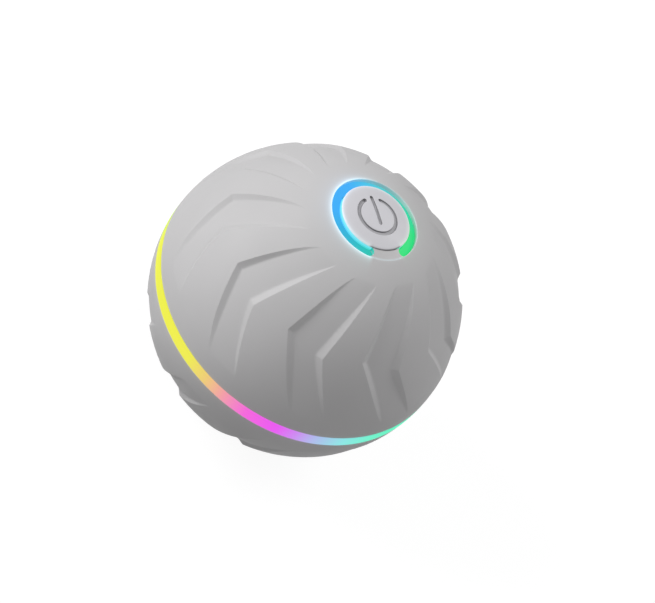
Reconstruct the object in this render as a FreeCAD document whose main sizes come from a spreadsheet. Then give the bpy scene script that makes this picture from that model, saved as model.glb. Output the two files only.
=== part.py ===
import FreeCAD, Part
import math
import os
import re

import Sketcher

V = FreeCAD.Vector
Z_AXIS = V(0, 0, 1)

# A self-rolling dog ball, 80 mm across. The origin is the centre of the ball and +Z runs out through
# the power button, along the axis that the inner weight turns about. All sizes are millimetres and degrees.
# Longitude 0 on the tread is the -Y side and grows towards +X. Colatitude is measured from the button.

SIZES = [
    # outer skin
    ("ball_radius", 40.0, "outside radius of the ball"),
    ("cover_wall", 3.0, "thickness of the soft tread covers"),
    ("shell_wall", 2.4, "thickness of the rigid shells"),
    ("bond_gap", 0.05, "adhesive gap between a cover and its shell"),
    ("fit_gap", 0.05, "gap of pieces that are set into one another"),
    ("press_gap", 0.02, "gap drawn round a shaft that is pressed in"),
    ("ring_width", 3.9, "visible width of the equator light ring"),
    ("ring_flange", 6.0, "height of the light ring's inner flange"),
    ("tongue_wall", 0.8, "thickness of the tongue on each shell rim"),
    ("tongue_depth", 0.8, "depth of the tongue on each shell rim"),
    ("tongue_inset", 0.7, "distance of the tongue from the inside of the light ring"),
    # tread
    ("groove_count", 10, "chevron grooves in each cover"),
    ("groove_depth", 1.0, "depth of a groove at its middle"),
    ("groove_top", 25.0, "colatitude where the grooves run out near the button"),
    ("groove_bottom", 79.0, "colatitude where the grooves run out near the equator"),
    # power button
    ("button_radius", 9.0, "radius of the button cap"),
    ("button_wall", 1.2, "wall of the button cap"),
    ("button_skirt", 2.6, "height of the cap's side"),
    ("button_gap", 0.15, "running gap round the button cap"),
    ("button_travel", 0.5, "travel of the button"),
    ("button_height", 7.0, "top of the ball to the lower end of the button's stem"),
    ("stem_radius", 2.0, "radius of the button's stem"),
    ("stem_hole", 6.2, "radius of the hole in the shell under the button"),
    ("light_width", 2.15, "width of the C-shaped light ring"),
    ("pocket_step", 0.2, "depth of the button parts' floor below the shell at the opening's edge"),
    ("gasket_wall", 0.6, "thickness of the rubber boot's flange"),
    ("boot_collar", 1.3, "width of the boot's collar round the stem"),
    ("boot_collar_height", 0.75, "height of that collar"),
    ("bezel_base", 0.6, "height of the bezel's base ring"),
    ("light_recess", 1.2, "depth of the C-shaped light ring below the surface"),
    ("light_start", 69.5, "longitude where the C-shaped light ring starts"),
    ("light_sweep", 319.5, "angle that the C-shaped light ring spans, with its rounded ends"),
    ("light_peg_radius", 0.8, "radius of a light peg"),
    ("light_peg_count", 6, "light pegs under the C-shaped ring, an even number"),
    ("button_diode_width", 1.6, "width and length of a diode on the button board"),
    ("button_diode_height", 0.8, "height of that diode"),
    ("peg_gap", 0.2, "gap between a light peg and its diode"),
    ("symbol_radius", 4.88, "radius of the power symbol's arc"),
    ("symbol_stroke", 1.0, "line width of the power symbol"),
    ("symbol_depth", 0.4, "depth of the power symbol"),
    ("symbol_gap", 52.0, "angle left open in the symbol's arc"),
    ("symbol_up", -130.0, "longitude that the symbol's bar points to"),
    ("symbol_bar_out", 5.7, "length of the bar outwards from the middle"),
    ("symbol_bar_in", 2.6, "length of the bar past the middle"),
    ("switch_width", 5.0, "width of the tact switch"),
    ("switch_height", 2.0, "height of the tact switch"),
    ("plunger_radius", 1.5, "radius of the switch plunger"),
    ("plunger_height", 0.6, "height of the plunger above the switch"),
    ("plunger_seat", 0.7, "length of the plunger inside the switch"),
    ("small_board", 1.2, "thickness of the button board and of the charge board"),
    ("button_board_radius", 13.5, "radius of the button board"),
    ("button_screw_circle", 12.0, "radius that the button board's screws stand on"),
    ("button_thread", 2.3, "length of those screws in the shell"),
    # chassis, battery and boards
    ("core_floor", -6.0, "height of the cradle floor that carries battery and motor"),
    ("core_floor_wall", 2.5, "thickness of the cradle floor"),
    ("core_radius", 17.0, "inside radius of the chassis cup and of the gear case"),
    ("core_wall", 1.5, "wall of the chassis cup and of the gear case"),
    ("cradle_height", 5.0, "height of the block that grips battery and motor"),
    ("flange_height", 13.5, "height of the underside of the chassis flange"),
    ("flange_wall", 2.0, "thickness of the chassis flange"),
    ("flange_radius", 27.0, "radius of the chassis flange"),
    ("chassis_screw_circle", 24.5, "radius that the chassis screws stand on"),
    ("chassis_screw_count", 4, "screws that hold the chassis"),
    ("chassis_screw_side", 45.0, "angle of the first chassis screw"),
    ("chassis_thread", 5.0, "length of those screws in the shell"),
    ("chassis_boss_radius", 2.5, "radius of a boss under the upper shell"),
    ("cell_clearance", 2.0, "height of the main board above the battery cell"),
    ("main_board_wall", 1.4, "thickness of the main board"),
    ("main_board_radius", 21.5, "radius of the main board"),
    ("main_screw_circle", 19.2, "radius that the main board's screws stand on"),
    ("main_thread", 4.2, "length of those screws in the standoffs"),
    ("board_screw_count", 3, "screws of the main board, and of the charge board"),
    ("board_screw_side", 30.0, "angle of the first of those screws"),
    ("standoff_radius", 2.0, "radius of a standoff under the main board"),
    ("cell_radius", 7.0, "radius of the battery cell"),
    ("cell_length", 25.0, "length of the battery cell"),
    ("cell_place", 8.2, "distance of the cell from the ball's axis"),
    ("cell_edge", 0.6, "bevel at the cell's ends"),
    ("cell_cap_radius", 2.2, "radius of the cell's raised pole"),
    ("cell_cap_height", 0.8, "height of that pole"),
    ("tab_wall", 0.2, "thickness of a battery tab"),
    ("tab_width", 2.4, "width of a battery tab"),
    ("tab_flat", 3.0, "length of the tab's foot on the pole"),
    ("tab_overlap", 8.0, "length of the other tab along the cell's side"),
    ("foam_width", 3.6, "width of the foam pad on the cell"),
    ("foam_length", 9.0, "length of the foam pad"),
    ("seat_gap", 0.15, "gap round the cell and the motor in the cradle"),
    ("motor_radius", 7.75, "radius of the motor can"),
    ("motor_flat", 12.1, "distance across the motor's flats"),
    ("motor_length", 16.0, "length of the motor can"),
    ("motor_wall", 0.6, "wall of the motor can"),
    ("motor_place", 8.5, "distance of the motor from the ball's axis"),
    ("motor_boss_radius", 3.0, "radius of the round boss on the motor's face"),
    ("motor_boss_height", 1.0, "height of the round boss on the motor's face"),
    ("motor_screw_place", 4.7, "distance of each motor screw from the motor's shaft"),
    ("motor_thread", 1.3, "length of those screws beyond the cradle floor"),
    ("motor_shaft_radius", 0.75, "radius of the motor shaft"),
    ("motor_cap_wall", 2.0, "thickness of the motor's end cap"),
    ("armature_place", 7.0, "middle of the armature above the motor's face"),
    ("armature_radius", 4.7, "radius of the armature"),
    ("armature_length", 8.0, "length of the armature"),
    ("winding_slot_place", 2.9, "distance of a winding slot from the shaft"),
    ("winding_slot_radius", 1.25, "radius of a winding slot"),
    ("winding_mouth", 0.7, "width of a winding slot's mouth"),
    ("magnet_inner", 5.2, "inside radius of the magnets"),
    ("magnet_width", 8.0, "width of the magnets"),
    ("magnet_length", 9.4, "length of the magnets"),
    ("commutator_radius", 1.5, "radius of the commutator"),
    ("commutator_length", 2.2, "length of the commutator"),
    ("commutator_gap", 0.4, "gap between the armature and the commutator"),
    ("terminal_place", 3.5, "distance of a motor terminal from the shaft"),
    ("terminal_width", 1.6, "width of a motor terminal"),
    ("terminal_wall", 0.3, "thickness of a motor terminal"),
    ("terminal_height", 2.4, "height of a motor terminal"),
    # gears
    ("fine_module", 0.4, "module of the first two gear stages"),
    ("coarse_module", 0.5, "module of the last gear stage"),
    ("pinion_teeth", 10, "teeth on the motor pinion"),
    ("first_wheel_teeth", 32, "teeth on the first compound gear's wheel"),
    ("first_pinion_teeth", 10, "teeth on the first compound gear's pinion"),
    ("second_wheel_teeth", 30, "teeth on the second compound gear's wheel"),
    ("second_pinion_teeth", 12, "teeth on the second compound gear's pinion"),
    ("output_teeth", 29, "teeth on the output gear"),
    ("tooth_backlash", 0.05, "thinning of every tooth at its pitch circle"),
    ("first_axle_place", 9.2, "distance of the first gear axle from the ball's axis"),
    ("gear_face_fine", 1.6, "face width of the first stage"),
    ("gear_face_middle", 1.8, "face width of the second stage"),
    ("gear_face_last", 2.2, "face width of the last stage"),
    ("gear_gap", 0.4, "axial gap between gears that pass one another"),
    ("axle_radius", 0.75, "radius of the fixed gear axles"),
    ("axle_seat_above", 1.9, "length of an axle in the cradle floor"),
    ("axle_seat_below", 0.9, "length of an axle in the gear case"),
    ("running_gap", 0.04, "radial running clearance of gears, shaft and weight"),
    ("case_wall", 1.5, "thickness of the gear case's floor"),
    ("case_screw_circle", 14.5, "radius that the gear case's screws stand on"),
    ("case_thread", 2.0, "length of the gear case's screws in the cradle floor"),
    ("small_boss_radius", 1.8, "radius of a small screw's boss"),
    # output shaft and weight
    ("shaft_radius", 1.5, "radius of the output shaft"),
    ("shaft_end_gap", 0.3, "distance of the shaft's end below the cradle"),
    ("bush_wall", 0.8, "wall of the shaft bushes"),
    ("arm_gap", 0.9, "axial gap between the gear case and the arm"),
    ("arm_wall", 2.0, "thickness of the pendulum arm"),
    ("arm_hub_radius", 4.5, "radius of the arm's hub"),
    ("weight_top", 11.0, "height of the weight's upper face"),
    ("weight_gap", 1.0, "gap between the chassis cup and the turning weight"),
    ("weight_angle", 116.0, "angle that the weight spans"),
    ("weight_screw_inset", 2.0, "distance of the weight's screws from its inside"),
    ("weight_screw_spread", 40.0, "angle between the weight's screws"),
    ("weight_thread", 6.0, "length of those screws in the weight"),
    ("arm_head_radius", 3.0, "radius of the head of the arm's screw"),
    ("arm_thread", 5.0, "length of the arm's screw in the shaft"),
    ("sweep_gap", 0.8, "gap between the turning weight and the cable along the wall"),
    # light strip and cables
    ("led_count", 20, "light-emitting diodes behind the equator ring"),
    ("led_width", 2.2, "width of a diode"),
    ("led_height", 2.0, "height of a diode"),
    ("led_depth", 1.0, "thickness of a diode"),
    ("strip_wall", 0.3, "thickness of the flexible strip"),
    ("strip_height", 5.0, "height of the flexible strip"),
    ("cable_radius", 0.6, "radius of the cables that run along the wall"),
    ("cable_gap", 0.15, "gap between a cable and the strip or clip beside it"),
    ("wire_radius", 0.4, "radius of a single wire"),
    ("cable_bend", 6.0, "bend radius where a wall cable turns to its socket"),
    ("button_cable_bend", 4.5, "bend radius of the button board's cable"),
    ("button_cable_run", 0.6, "straight length of that cable at its socket"),
    ("clip_width", 3.0, "width and length of a cable clip on the shell wall"),
    ("clip_wall", 0.5, "wall of a cable clip inside of the cable"),
    ("clip_angle", 26.0, "angle of the cable clips above and below the equator"),
    ("socket_width", 5.0, "width of a cable socket"),
    ("socket_length", 4.0, "length of a cable socket"),
    ("socket_height", 3.0, "height of a cable socket"),
    ("wall_socket_place", 17.0, "distance of the wall cables' sockets from the ball's axis"),
    ("button_socket_place", 15.0, "distance of the button cable's socket from the axis"),
    ("charge_socket_place", 12.5, "distance of the charge board's socket from the axis"),
    # parts on the main board
    ("controller_width", 6.0, "width and length of the controller chip"),
    ("controller_height", 0.9, "height of the controller chip"),
    ("driver_length", 5.0, "length of the motor driver chip"),
    ("driver_width", 4.0, "width of the motor driver chip"),
    ("driver_height", 1.5, "height of the motor driver chip"),
    ("charger_width", 3.0, "width and length of the charger chip"),
    ("charger_height", 1.0, "height of the charger chip"),
    ("inductor_width", 4.0, "width and length of the inductor"),
    ("inductor_height", 2.2, "height of the inductor"),
    ("vibration_radius", 1.8, "radius of the vibration switch"),
    ("vibration_height", 5.2, "height of the vibration switch"),
    ("capacitor_radius", 1.5, "radius of a capacitor"),
    ("capacitor_height", 3.2, "height of a capacitor"),
    # charging port
    ("port_radius", 8.0, "radius of the round recess round the charging port"),
    ("port_step", 0.5, "depth of the recess's floor below the shell at the recess's edge"),
    ("port_width", 8.94, "outside width of the charging socket"),
    ("port_height", 3.26, "outside height of the charging socket"),
    ("port_length", 7.0, "length of the charging socket"),
    ("port_wall", 0.3, "wall of the charging socket"),
    ("port_throat", 4.6, "free depth inside the charging socket"),
    ("contact_width", 6.69, "width of the contact tongue"),
    ("contact_height", 0.7, "thickness of the contact tongue"),
    ("contact_setback", 0.5, "distance of the tongue's end inside the socket's mouth"),
    ("port_gasket_wall", 1.2, "wall of the gasket round the socket"),
    ("port_gasket_height", 1.6, "height of the gasket round the socket"),
    ("charge_board_radius", 15.2, "radius of the charge board"),
    ("charge_screw_circle", 12.6, "radius that the charge board's screws stand on"),
    ("charge_thread", 2.8, "length of those screws in the shell"),
    ("plug_gap", 0.1, "gap round the port plug"),
    ("plug_slot_gap", 0.15, "gap between the plug and the contact tongue"),
    ("plug_end_gap", 0.3, "gap between the plug's stub and the socket's floor"),
    ("notch_radius", 1.8, "radius of the fingernail notch in the plug"),
    ("notch_depth", 1.5, "depth of the fingernail notch"),
    # fasteners
    ("screw_radius", 0.8, "radius of the small screws"),
    ("screw_head_radius", 1.5, "radius of a small screw's head"),
    ("screw_head", 1.0, "height of a small screw's head"),
    ("big_screw_radius", 1.0, "radius of the chassis, weight and arm screws"),
    ("big_head_radius", 1.8, "radius of their heads"),
    ("thread_room", 0.2, "depth left free beyond the end of a screw"),
]

PLACES = [
    ("shell_outer", "ball_radius - cover_wall"),
    ("shell_inner", "shell_outer - shell_wall"),
    ("cover_inner", "shell_outer + bond_gap"),
    ("ring_half", "ring_width / 2"),
    ("flange_half", "ring_flange / 2"),
    ("ring_outer_step", "sqrt(cover_inner^2 - flange_half^2) - fit_gap"),
    ("tongue_in", "shell_inner + tongue_inset"),
    ("tongue_out", "tongue_in + tongue_wall"),
    ("groove_middle", "(groove_top + groove_bottom) / 2"),
    ("groove_low", "ball_radius - groove_depth"),
    ("groove_cos", "cos((groove_bottom - groove_top) / 2)"),
    ("groove_back", "(ball_radius^2 - groove_low^2) / (2 * (groove_low - ball_radius * groove_cos))"),
    ("strip_outer", "shell_inner - fit_gap - led_depth"),
    ("strip_inner", "strip_outer - strip_wall"),
    ("cable_track", "strip_inner - cable_gap - cable_radius"),
    ("sweep_radius", "cable_track - cable_radius - sweep_gap"),
    ("weight_outer", "sqrt(sweep_radius^2 - weight_top^2)"),
    ("light_inner", "button_radius + button_gap"),
    ("light_outer", "light_inner + light_width"),
    ("bezel_radius", "light_outer + fit_gap"),
    ("pocket_floor", "sqrt(shell_outer^2 - bezel_radius^2) - pocket_step"),
    ("gasket_top", "pocket_floor + gasket_wall"),
    ("light_seat", "gasket_top + bezel_base"),
    ("light_middle", "(light_inner + light_outer) / 2"),
    ("light_end", "2 * asin(light_width / (4 * light_middle)) / 1 deg"),
    ("light_top", "ball_radius - light_recess"),
    ("plunger_top", "ball_radius - button_height"),
    ("switch_top", "plunger_top - plunger_height"),
    ("button_board_top", "switch_top - switch_height"),
    ("button_board_low", "button_board_top - small_board"),
    ("button_edge", "sqrt(ball_radius^2 - button_radius^2)"),
    ("cap_under", "button_edge - button_wall"),
    ("peg_step", "light_sweep / light_peg_count"),
    ("light_from", "light_start - 90"),
    ("mid_wall", "shell_outer - shell_wall / 2"),
    ("floor_low", "core_floor - core_floor_wall"),
    ("core_outer", "core_radius + core_wall"),
    ("flange_top", "flange_height + flange_wall"),
    ("weight_inner", "core_outer + weight_gap"),
    ("weight_screw_circle", "weight_inner + weight_screw_inset"),
    ("cell_top", "core_floor + cell_length"),
    ("main_board_low", "cell_top + cell_clearance"),
    ("main_board_top", "main_board_low + main_board_wall"),
    ("motor_top", "core_floor + motor_length"),
    ("armature_low", "core_floor + armature_place - armature_length / 2"),
    ("armature_top", "armature_low + armature_length"),
    ("magnet_low", "core_floor + armature_place - magnet_length / 2"),
    ("magnet_top", "magnet_low + magnet_length"),
    ("commutator_low", "armature_top + commutator_gap"),
    ("first_centres", "fine_module * (pinion_teeth + first_wheel_teeth) / 2"),
    ("second_centres", "fine_module * (first_pinion_teeth + second_wheel_teeth) / 2"),
    ("last_centres", "coarse_module * (second_pinion_teeth + output_teeth) / 2"),
    ("first_cosine", "(motor_place^2 + first_axle_place^2 - first_centres^2)"
                     " / (2 * motor_place * first_axle_place)"),
    ("second_cosine", "(first_axle_place^2 + last_centres^2 - second_centres^2)"
                      " / (2 * first_axle_place * last_centres)"),
    ("first_angle", "180 + acos(first_cosine) / 1 deg"),
    ("second_angle", "first_angle + acos(second_cosine) / 1 deg"),
    ("first_top", "floor_low - gear_gap"),
    ("first_low", "first_top - gear_face_fine"),
    ("second_top", "first_low - gear_gap"),
    ("second_low", "second_top - gear_face_middle"),
    ("last_top", "second_low - gear_gap"),
    ("last_low", "last_top - gear_face_last"),
    ("case_top", "last_low - gear_gap"),
    ("case_low", "case_top - case_wall"),
    ("arm_top", "case_low - arm_gap"),
    ("arm_low", "arm_top - arm_wall"),
    ("arm_outer", "sqrt(sweep_radius^2 - arm_low^2)"),
    ("weight_rim", "sqrt(sweep_radius^2 - arm_top^2)"),
    ("bush_radius", "shaft_radius + running_gap + bush_wall"),
    ("port_floor", "port_step - sqrt(shell_outer^2 - port_radius^2)"),
    ("charge_low", "port_floor + port_length"),
    ("charge_top", "charge_low + small_board"),
    ("gasket_reach", "port_width / 2 + port_gasket_wall"),
    ("port_gasket_low", "fit_gap - sqrt(shell_inner^2 - gasket_reach^2)"),
]

# Sides of the ball, as angles from +X, where the cables run and where the weight rests.
CHARGE_SIDE = 90.0
LIGHT_SIDE = 0.0
BUTTON_SIDE = 200.0
WEIGHT_SIDE = 270.0
# The gear case's screws stand clear of every gear.
CASE_SCREW_SIDES = ("75", "195", "330")
# Places in plan of the parts on the main board.
CONTROLLER_SPOT = ("0", "-2")
DRIVER_SPOT = ("-9", "6")
CHARGER_SPOT = ("4", "12")
INDUCTOR_SPOT = ("10", "6")
VIBRATION_SPOT = ("9", "-9")
CAPACITOR_SPOTS = (("-3", "8"), ("-3", "12"), ("-5", "-12"))
# Shank and head radius of each kind of screw.
SMALL = ("screw_radius", "screw_head_radius")
BIG = ("big_screw_radius", "big_head_radius")
BROAD = ("screw_radius", "arm_head_radius")

doc = FreeCAD.newDocument("dog_ball")
nodes = {}


def make_sheets():
    """The driving sizes as plain numbers, and the places that follow from them as formulas."""
    sheet = doc.addObject("Spreadsheet::Sheet", "Sizes")
    for row, (alias, number, meaning) in enumerate(SIZES, start=1):
        sheet.set(f"A{row}", meaning)
        sheet.set(f"B{row}", str(number))
        sheet.setAlias(f"B{row}", alias)
    doc.recompute()
    known = {alias: "Sizes" for alias, _, _ in SIZES}
    places = doc.addObject("Spreadsheet::Sheet", "Places")
    for row, (alias, formula) in enumerate(PLACES, start=1):
        places.set(f"A{row}", alias.replace("_", " "))
        places.set(f"B{row}", "=" + qualified(formula, known, "Places"))
        places.setAlias(f"B{row}", alias)
        known[alias] = "Places"
    doc.recompute()
    return known


def qualified(formula, known, home=""):
    """The formula with each name led by the table that it is in, other than the table at home."""

    def lead(match):
        word = match.group(0)
        if word not in known or known[word] == home:
            return word
        return f"{known[word]}.{word}"

    return re.sub(r"[a-z][a-z_]+", lead, formula)


ALIASES = make_sheets()


def expr(formula):
    return qualified(formula, ALIASES)


def value(formula):
    """The number that a formula gives now."""
    found = doc.Sizes.evalExpression(expr(str(formula)))
    return float(getattr(found, "Value", found))


def bind(thing, **formulas):
    for prop, formula in formulas.items():
        thing.setExpression(prop.replace("__", "."), expr(formula))
    return thing


def place(thing, x="0", y="0", z="0", turn=0.0, axis=Z_AXIS):
    """Puts a thing at a point given by formulas, turned by a plain angle."""
    thing.Placement = FreeCAD.Placement(V(value(x), value(y), value(z)), FreeCAD.Rotation(axis, turn))
    bind(thing, Placement__Base__x=x, Placement__Base__y=y, Placement__Base__z=z)
    return thing


def around(radius, angle):
    """The x and y formulas of a point at a radius and an angle from +X, both given as formulas."""
    return f"({radius}) * cos({angle})", f"({radius}) * sin({angle})"


def keep(name, thing):
    thing.Label = name
    nodes[name] = thing
    return thing


# Plain solids and how they are combined


def cylinder(name, radius, low, high, x="0", y="0"):
    thing = doc.addObject("Part::Cylinder", name)
    bind(thing, Radius=radius, Height=f"({high}) - ({low})")
    return place(thing, x, y, low)


def tube(name, inner, outer, low, high, x="0", y="0"):
    return cut(name, cylinder(name + "_outside", outer, low, high, x, y),
               cylinder(name + "_bore", inner, f"({low}) - 1", f"({high}) + 1", x, y))


def ball(name, radius):
    return bind(doc.addObject("Part::Sphere", name), Radius=radius)


def block(name, across, deep, low, high, x="0", y="0", turn=0.0):
    """An upright box centred on a point in plan, across along its turned X and deep along its turned Y."""
    thing = doc.addObject("Part::Box", name)
    bind(thing, Length=across, Width=deep, Height=f"({high}) - ({low})")
    half = f"({across}) / 2", f"({deep}) / 2"
    corner_x = f"({x}) - {half[0]} * cos({turn}) + {half[1]} * sin({turn})"
    corner_y = f"({y}) - {half[0]} * sin({turn}) - {half[1]} * cos({turn})"
    return place(thing, corner_x, corner_y, low, turn)


def cut(name, base, *tools):
    thing = doc.addObject("Part::Cut", name)
    thing.Base = base
    thing.Tool = tools[0] if len(tools) == 1 else group(name + "_cutters", tools)
    return thing


def fuse(name, *shapes):
    thing = doc.addObject("Part::MultiFuse", name)
    thing.Shapes = list(shapes)
    return thing


def common(name, *shapes):
    thing = doc.addObject("Part::MultiCommon", name)
    thing.Shapes = list(shapes)
    return thing


def group(name, shapes):
    thing = doc.addObject("Part::Compound", name)
    thing.Links = list(shapes)
    return thing


def stadium(name, width, height, low, high):
    """An upright solid with a slot-shaped section, wide along X."""
    radius = f"({height}) / 2"
    reach = f"(({width}) - ({height})) / 2"
    return fuse(name,
                block(name + "_middle", f"({width}) - ({height})", height, low, high),
                cylinder(name + "_left", radius, low, high, f"-({reach})"),
                cylinder(name + "_right", radius, low, high, reach))


# Turned and extruded pieces, from profiles whose corners follow the driving sizes


def body(name):
    thing = doc.addObject("PartDesign::Body", name)
    thing.Label = name
    return thing


def sketch(owner, name, role, height=None):
    thing = owner.newObject("Sketcher::SketchObject", name)
    plane = next(f for f in owner.Origin.OriginFeatures if f.Role == role)
    thing.AttachmentSupport = (plane, [""])
    thing.MapMode = "FlatFace"
    if height is not None:
        bind(thing, AttachmentOffset__Base__z=height)
    return thing


def arc(radius, centre_x="0", centre_y="0"):
    """An edge that follows a circle to the next corner."""
    return {"radius": radius, "x": centre_x, "y": centre_y}


def outline(target, steps, side=1):
    """A closed profile of corners (x, y) and arcs between them. A corner beside an arc leaves one of
    its two distances open, as None, and lies on the arc. A side of -1 mirrors the profile in X."""
    sign = "" if side > 0 else "-1 * "
    corners, arcs = [], {}
    for step in steps:
        if isinstance(step, dict):
            arcs[len(corners) - 1] = step
        else:
            corners.append(step)
    spots = [corner_spot(corners, arcs, i, side) for i in range(len(corners))]
    edges = []
    for i, here in enumerate(spots):
        there = spots[(i + 1) % len(spots)]
        if i in arcs:
            edges.append(add_arc(target, arcs[i], here, there, sign, side))
        else:
            edges.append((target.addGeometry(Part.LineSegment(V(*here, 0), V(*there, 0))), 1, 2))
    for i, (edge, _, end) in enumerate(edges):
        follower, start, _ = edges[(i + 1) % len(edges)]
        target.addConstraint(Sketcher.Constraint("Coincident", edge, end, follower, start))
    for (edge, start, _), corner in zip(edges, corners):
        for kind, axis, formula, lead in (("DistanceX", -2, corner[0], ""), ("DistanceY", -1, corner[1], sign)):
            if formula == "0":
                target.addConstraint(Sketcher.Constraint("PointOnObject", edge, start, axis))
            elif formula is not None:
                tie(target, f"{lead}({formula})", kind, -1, 1, edge, start)


def corner_spot(corners, arcs, i, side):
    x, y = corners[i]
    if x is not None and y is not None:
        return value(x), side * value(y)
    near = arcs.get(i) or arcs[(i - 1) % len(corners)]
    radius, cx, cy = value(near["radius"]), value(near["x"]), value(near["y"])
    if x is None:
        return cx + math.sqrt(radius**2 - (value(y) - cy) ** 2), side * value(y)
    return value(x), side * (cy + math.sqrt(radius**2 - (value(x) - cx) ** 2))


def add_arc(target, spec, here, there, sign, side):
    cx, cy, radius = value(spec["x"]), side * value(spec["y"]), value(spec["radius"])
    first = math.atan2(here[1] - cy, here[0] - cx)
    last = math.atan2(there[1] - cy, there[0] - cx)
    forward = (last - first) % (2 * math.pi) < math.pi
    begin, finish = (first, last) if forward else (last, first)
    edge = target.addGeometry(Part.ArcOfCircle(Part.Circle(V(cx, cy, 0), Z_AXIS, radius), begin, finish))
    if spec["x"] == "0" and spec["y"] == "0":
        target.addConstraint(Sketcher.Constraint("Coincident", edge, 3, -1, 1))
    else:
        tie(target, spec["x"], "DistanceX", -1, 1, edge, 3)
        tie(target, f"{sign}({spec['y']})", "DistanceY", -1, 1, edge, 3)
    tie(target, spec["radius"], "Radius", edge)
    return (edge, 1, 2) if forward else (edge, 2, 1)


def tie(target, formula, kind, *where):
    index = target.addConstraint(Sketcher.Constraint(kind, *where, value(formula)))
    target.setExpression(f"Constraints[{index}]", expr(formula))


def circle(target, radius, x="0", y="0"):
    edge = target.addGeometry(Part.Circle(V(value(x), value(y), 0), Z_AXIS, value(radius)))
    tie(target, radius, "Radius", edge)
    for kind, axis, formula in (("DistanceX", -2, x), ("DistanceY", -1, y)):
        if formula == "0":
            target.addConstraint(Sketcher.Constraint("PointOnObject", edge, 3, axis))
        else:
            tie(target, formula, kind, -1, 1, edge, 3)


def revolved(name, steps, side=1, angle="360", start=0.0):
    """A turned piece about Z from a profile in radius and height."""
    owner = body(name)
    profile = sketch(owner, name + "_profile", "XZ_Plane")
    outline(profile, steps, side)
    turn = owner.newObject("PartDesign::Revolution", name + "_turn")
    turn.Profile = profile
    turn.ReferenceAxis = (profile, ["V_Axis"])
    bind(turn, Angle=angle)
    place(owner, turn=start)
    doc.recompute()
    return owner


def pad(owner, name, height, length, draw):
    """Adds an upright boss on an outline at a height, drawn by the given function."""
    profile = sketch(owner, name + "_sketch", "XY_Plane", height)
    draw(profile)
    thing = owner.newObject("PartDesign::Pad", name)
    thing.Profile = profile
    bind(thing, Length=length)
    doc.recompute()
    return thing


def pocket(owner, name, height, depth, draw):
    """Removes an upright hollow that starts at a height and goes down by a depth."""
    before = owner.Shape.Volume
    profile = sketch(owner, name + "_sketch", "XY_Plane", height)
    draw(profile)
    thing = owner.newObject("PartDesign::Pocket", name)
    thing.Profile = profile
    bind(thing, Length=depth)
    doc.recompute()
    if not owner.Shape.Volume < before - 1e-6:
        raise RuntimeError(f"{name} removes nothing")
    return thing


def polar(owner, name, feature, count):
    """Repeats a feature about Z."""
    thing = owner.newObject("PartDesign::PolarPattern", name)
    thing.Originals = [feature]
    thing.Axis = (next(f for f in owner.Origin.OriginFeatures if f.Role == "Z_Axis"), [""])
    thing.Angle = 360
    bind(thing, Occurrences=count)
    owner.Tip = thing
    doc.recompute()
    return thing


def circles(*spots):
    """A function that draws circles, each given as radius, x and y formulas."""

    def draw(profile):
        for spot in spots:
            circle(profile, *spot)

    return draw


def shape_node(name, shape):
    thing = doc.addObject("Part::Feature", name)
    thing.Shape = shape
    return thing


# Tread covers


def on_sphere(radius, colatitude, longitude):
    """A point on a sphere about the origin, from colatitude and tread longitude in degrees."""
    down, round_ = math.radians(colatitude), math.radians(longitude)
    return V(radius * math.sin(down) * math.sin(round_),
             -radius * math.sin(down) * math.cos(round_),
             radius * math.cos(down))


# The chevron's two walls as colatitude and longitude, from the tip near the button to the tip near the equator.
CHEVRON_LEFT = [(25.3, 19.0), (33.0, 10.3), (42.0, 5.3), (52.3, 2.8), (62.0, 10.4), (78.5, 22.0)]
CHEVRON_RIGHT = [(26.5, 36.5), (33.0, 31.0), (43.0, 25.4), (55.0, 21.8), (66.0, 28.0), (79.5, 35.5)]


def chevron_cutters():
    """One wedge for each groove. Its apex is the centre of the ball, so every wall is square to the skin."""
    reach = 1.3 * value("ball_radius")
    count = int(value("groove_count"))
    left = [on_sphere(reach, *spot) for spot in CHEVRON_LEFT]
    right = [on_sphere(reach, *spot) for spot in CHEVRON_RIGHT]
    faces = []
    ring = left + right[::-1]
    for i, spot in enumerate(ring):
        faces.append(triangle(V(), spot, ring[(i + 1) % len(ring)]))
    for i in range(len(left) - 1):
        faces.append(triangle(left[i], left[i + 1], right[i + 1]))
        faces.append(triangle(left[i], right[i + 1], right[i]))
    wedge = Part.makeSolid(Part.makeShell(faces))
    wedges = []
    for i in range(count):
        copy = wedge.copy()
        copy.rotate(V(), Z_AXIS, 360.0 * i / count)
        wedges.append(copy)
    return shape_node("chevron_wedges", Part.makeCompound(wedges))


def triangle(a, b, c):
    return Part.Face(Part.makePolygon([a, b, c, a]))


def tread_covers():
    """Each cover is a deep dome with an opening at its pole. The grooves fade out along an arc that
    crosses the outer sphere at both ends of the groove band and dips below it in between."""
    blanks = []
    for name, side, opening in (("upper", 1, "bezel_radius"), ("lower", -1, "port_radius")):
        steps = [
            (None, "ring_half"), arc("ball_radius"), (opening, None),
            (opening, None), arc("cover_inner"), (None, "ring_half"),
        ]
        blanks.append(revolved(name + "_cover_blank", steps, side))
    dip = arc("groove_back + groove_low",
              "-groove_back * sin(groove_middle)", "-groove_back * cos(groove_middle)")
    floor = revolved("groove_floor", [
        ("ball_radius * sin(groove_bottom + 3)", None), dip, ("ball_radius * sin(groove_top - 3)", None),
        ("0", "ball_radius * cos(groove_top - 3)"), ("0", "0"), ("ball_radius * sin(groove_bottom + 3)", "0"),
    ])
    grooves = cut("upper_grooves", chevron_cutters(), floor)
    mirrored = doc.addObject("Part::Mirroring", "lower_grooves")
    mirrored.Source = grooves
    mirrored.Normal = Z_AXIS
    keep("upper_tread_cover", cut("upper_tread", blanks[0], grooves))
    keep("lower_tread_cover", cut("lower_tread", blanks[1], mirrored))


# Shells and light ring


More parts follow.
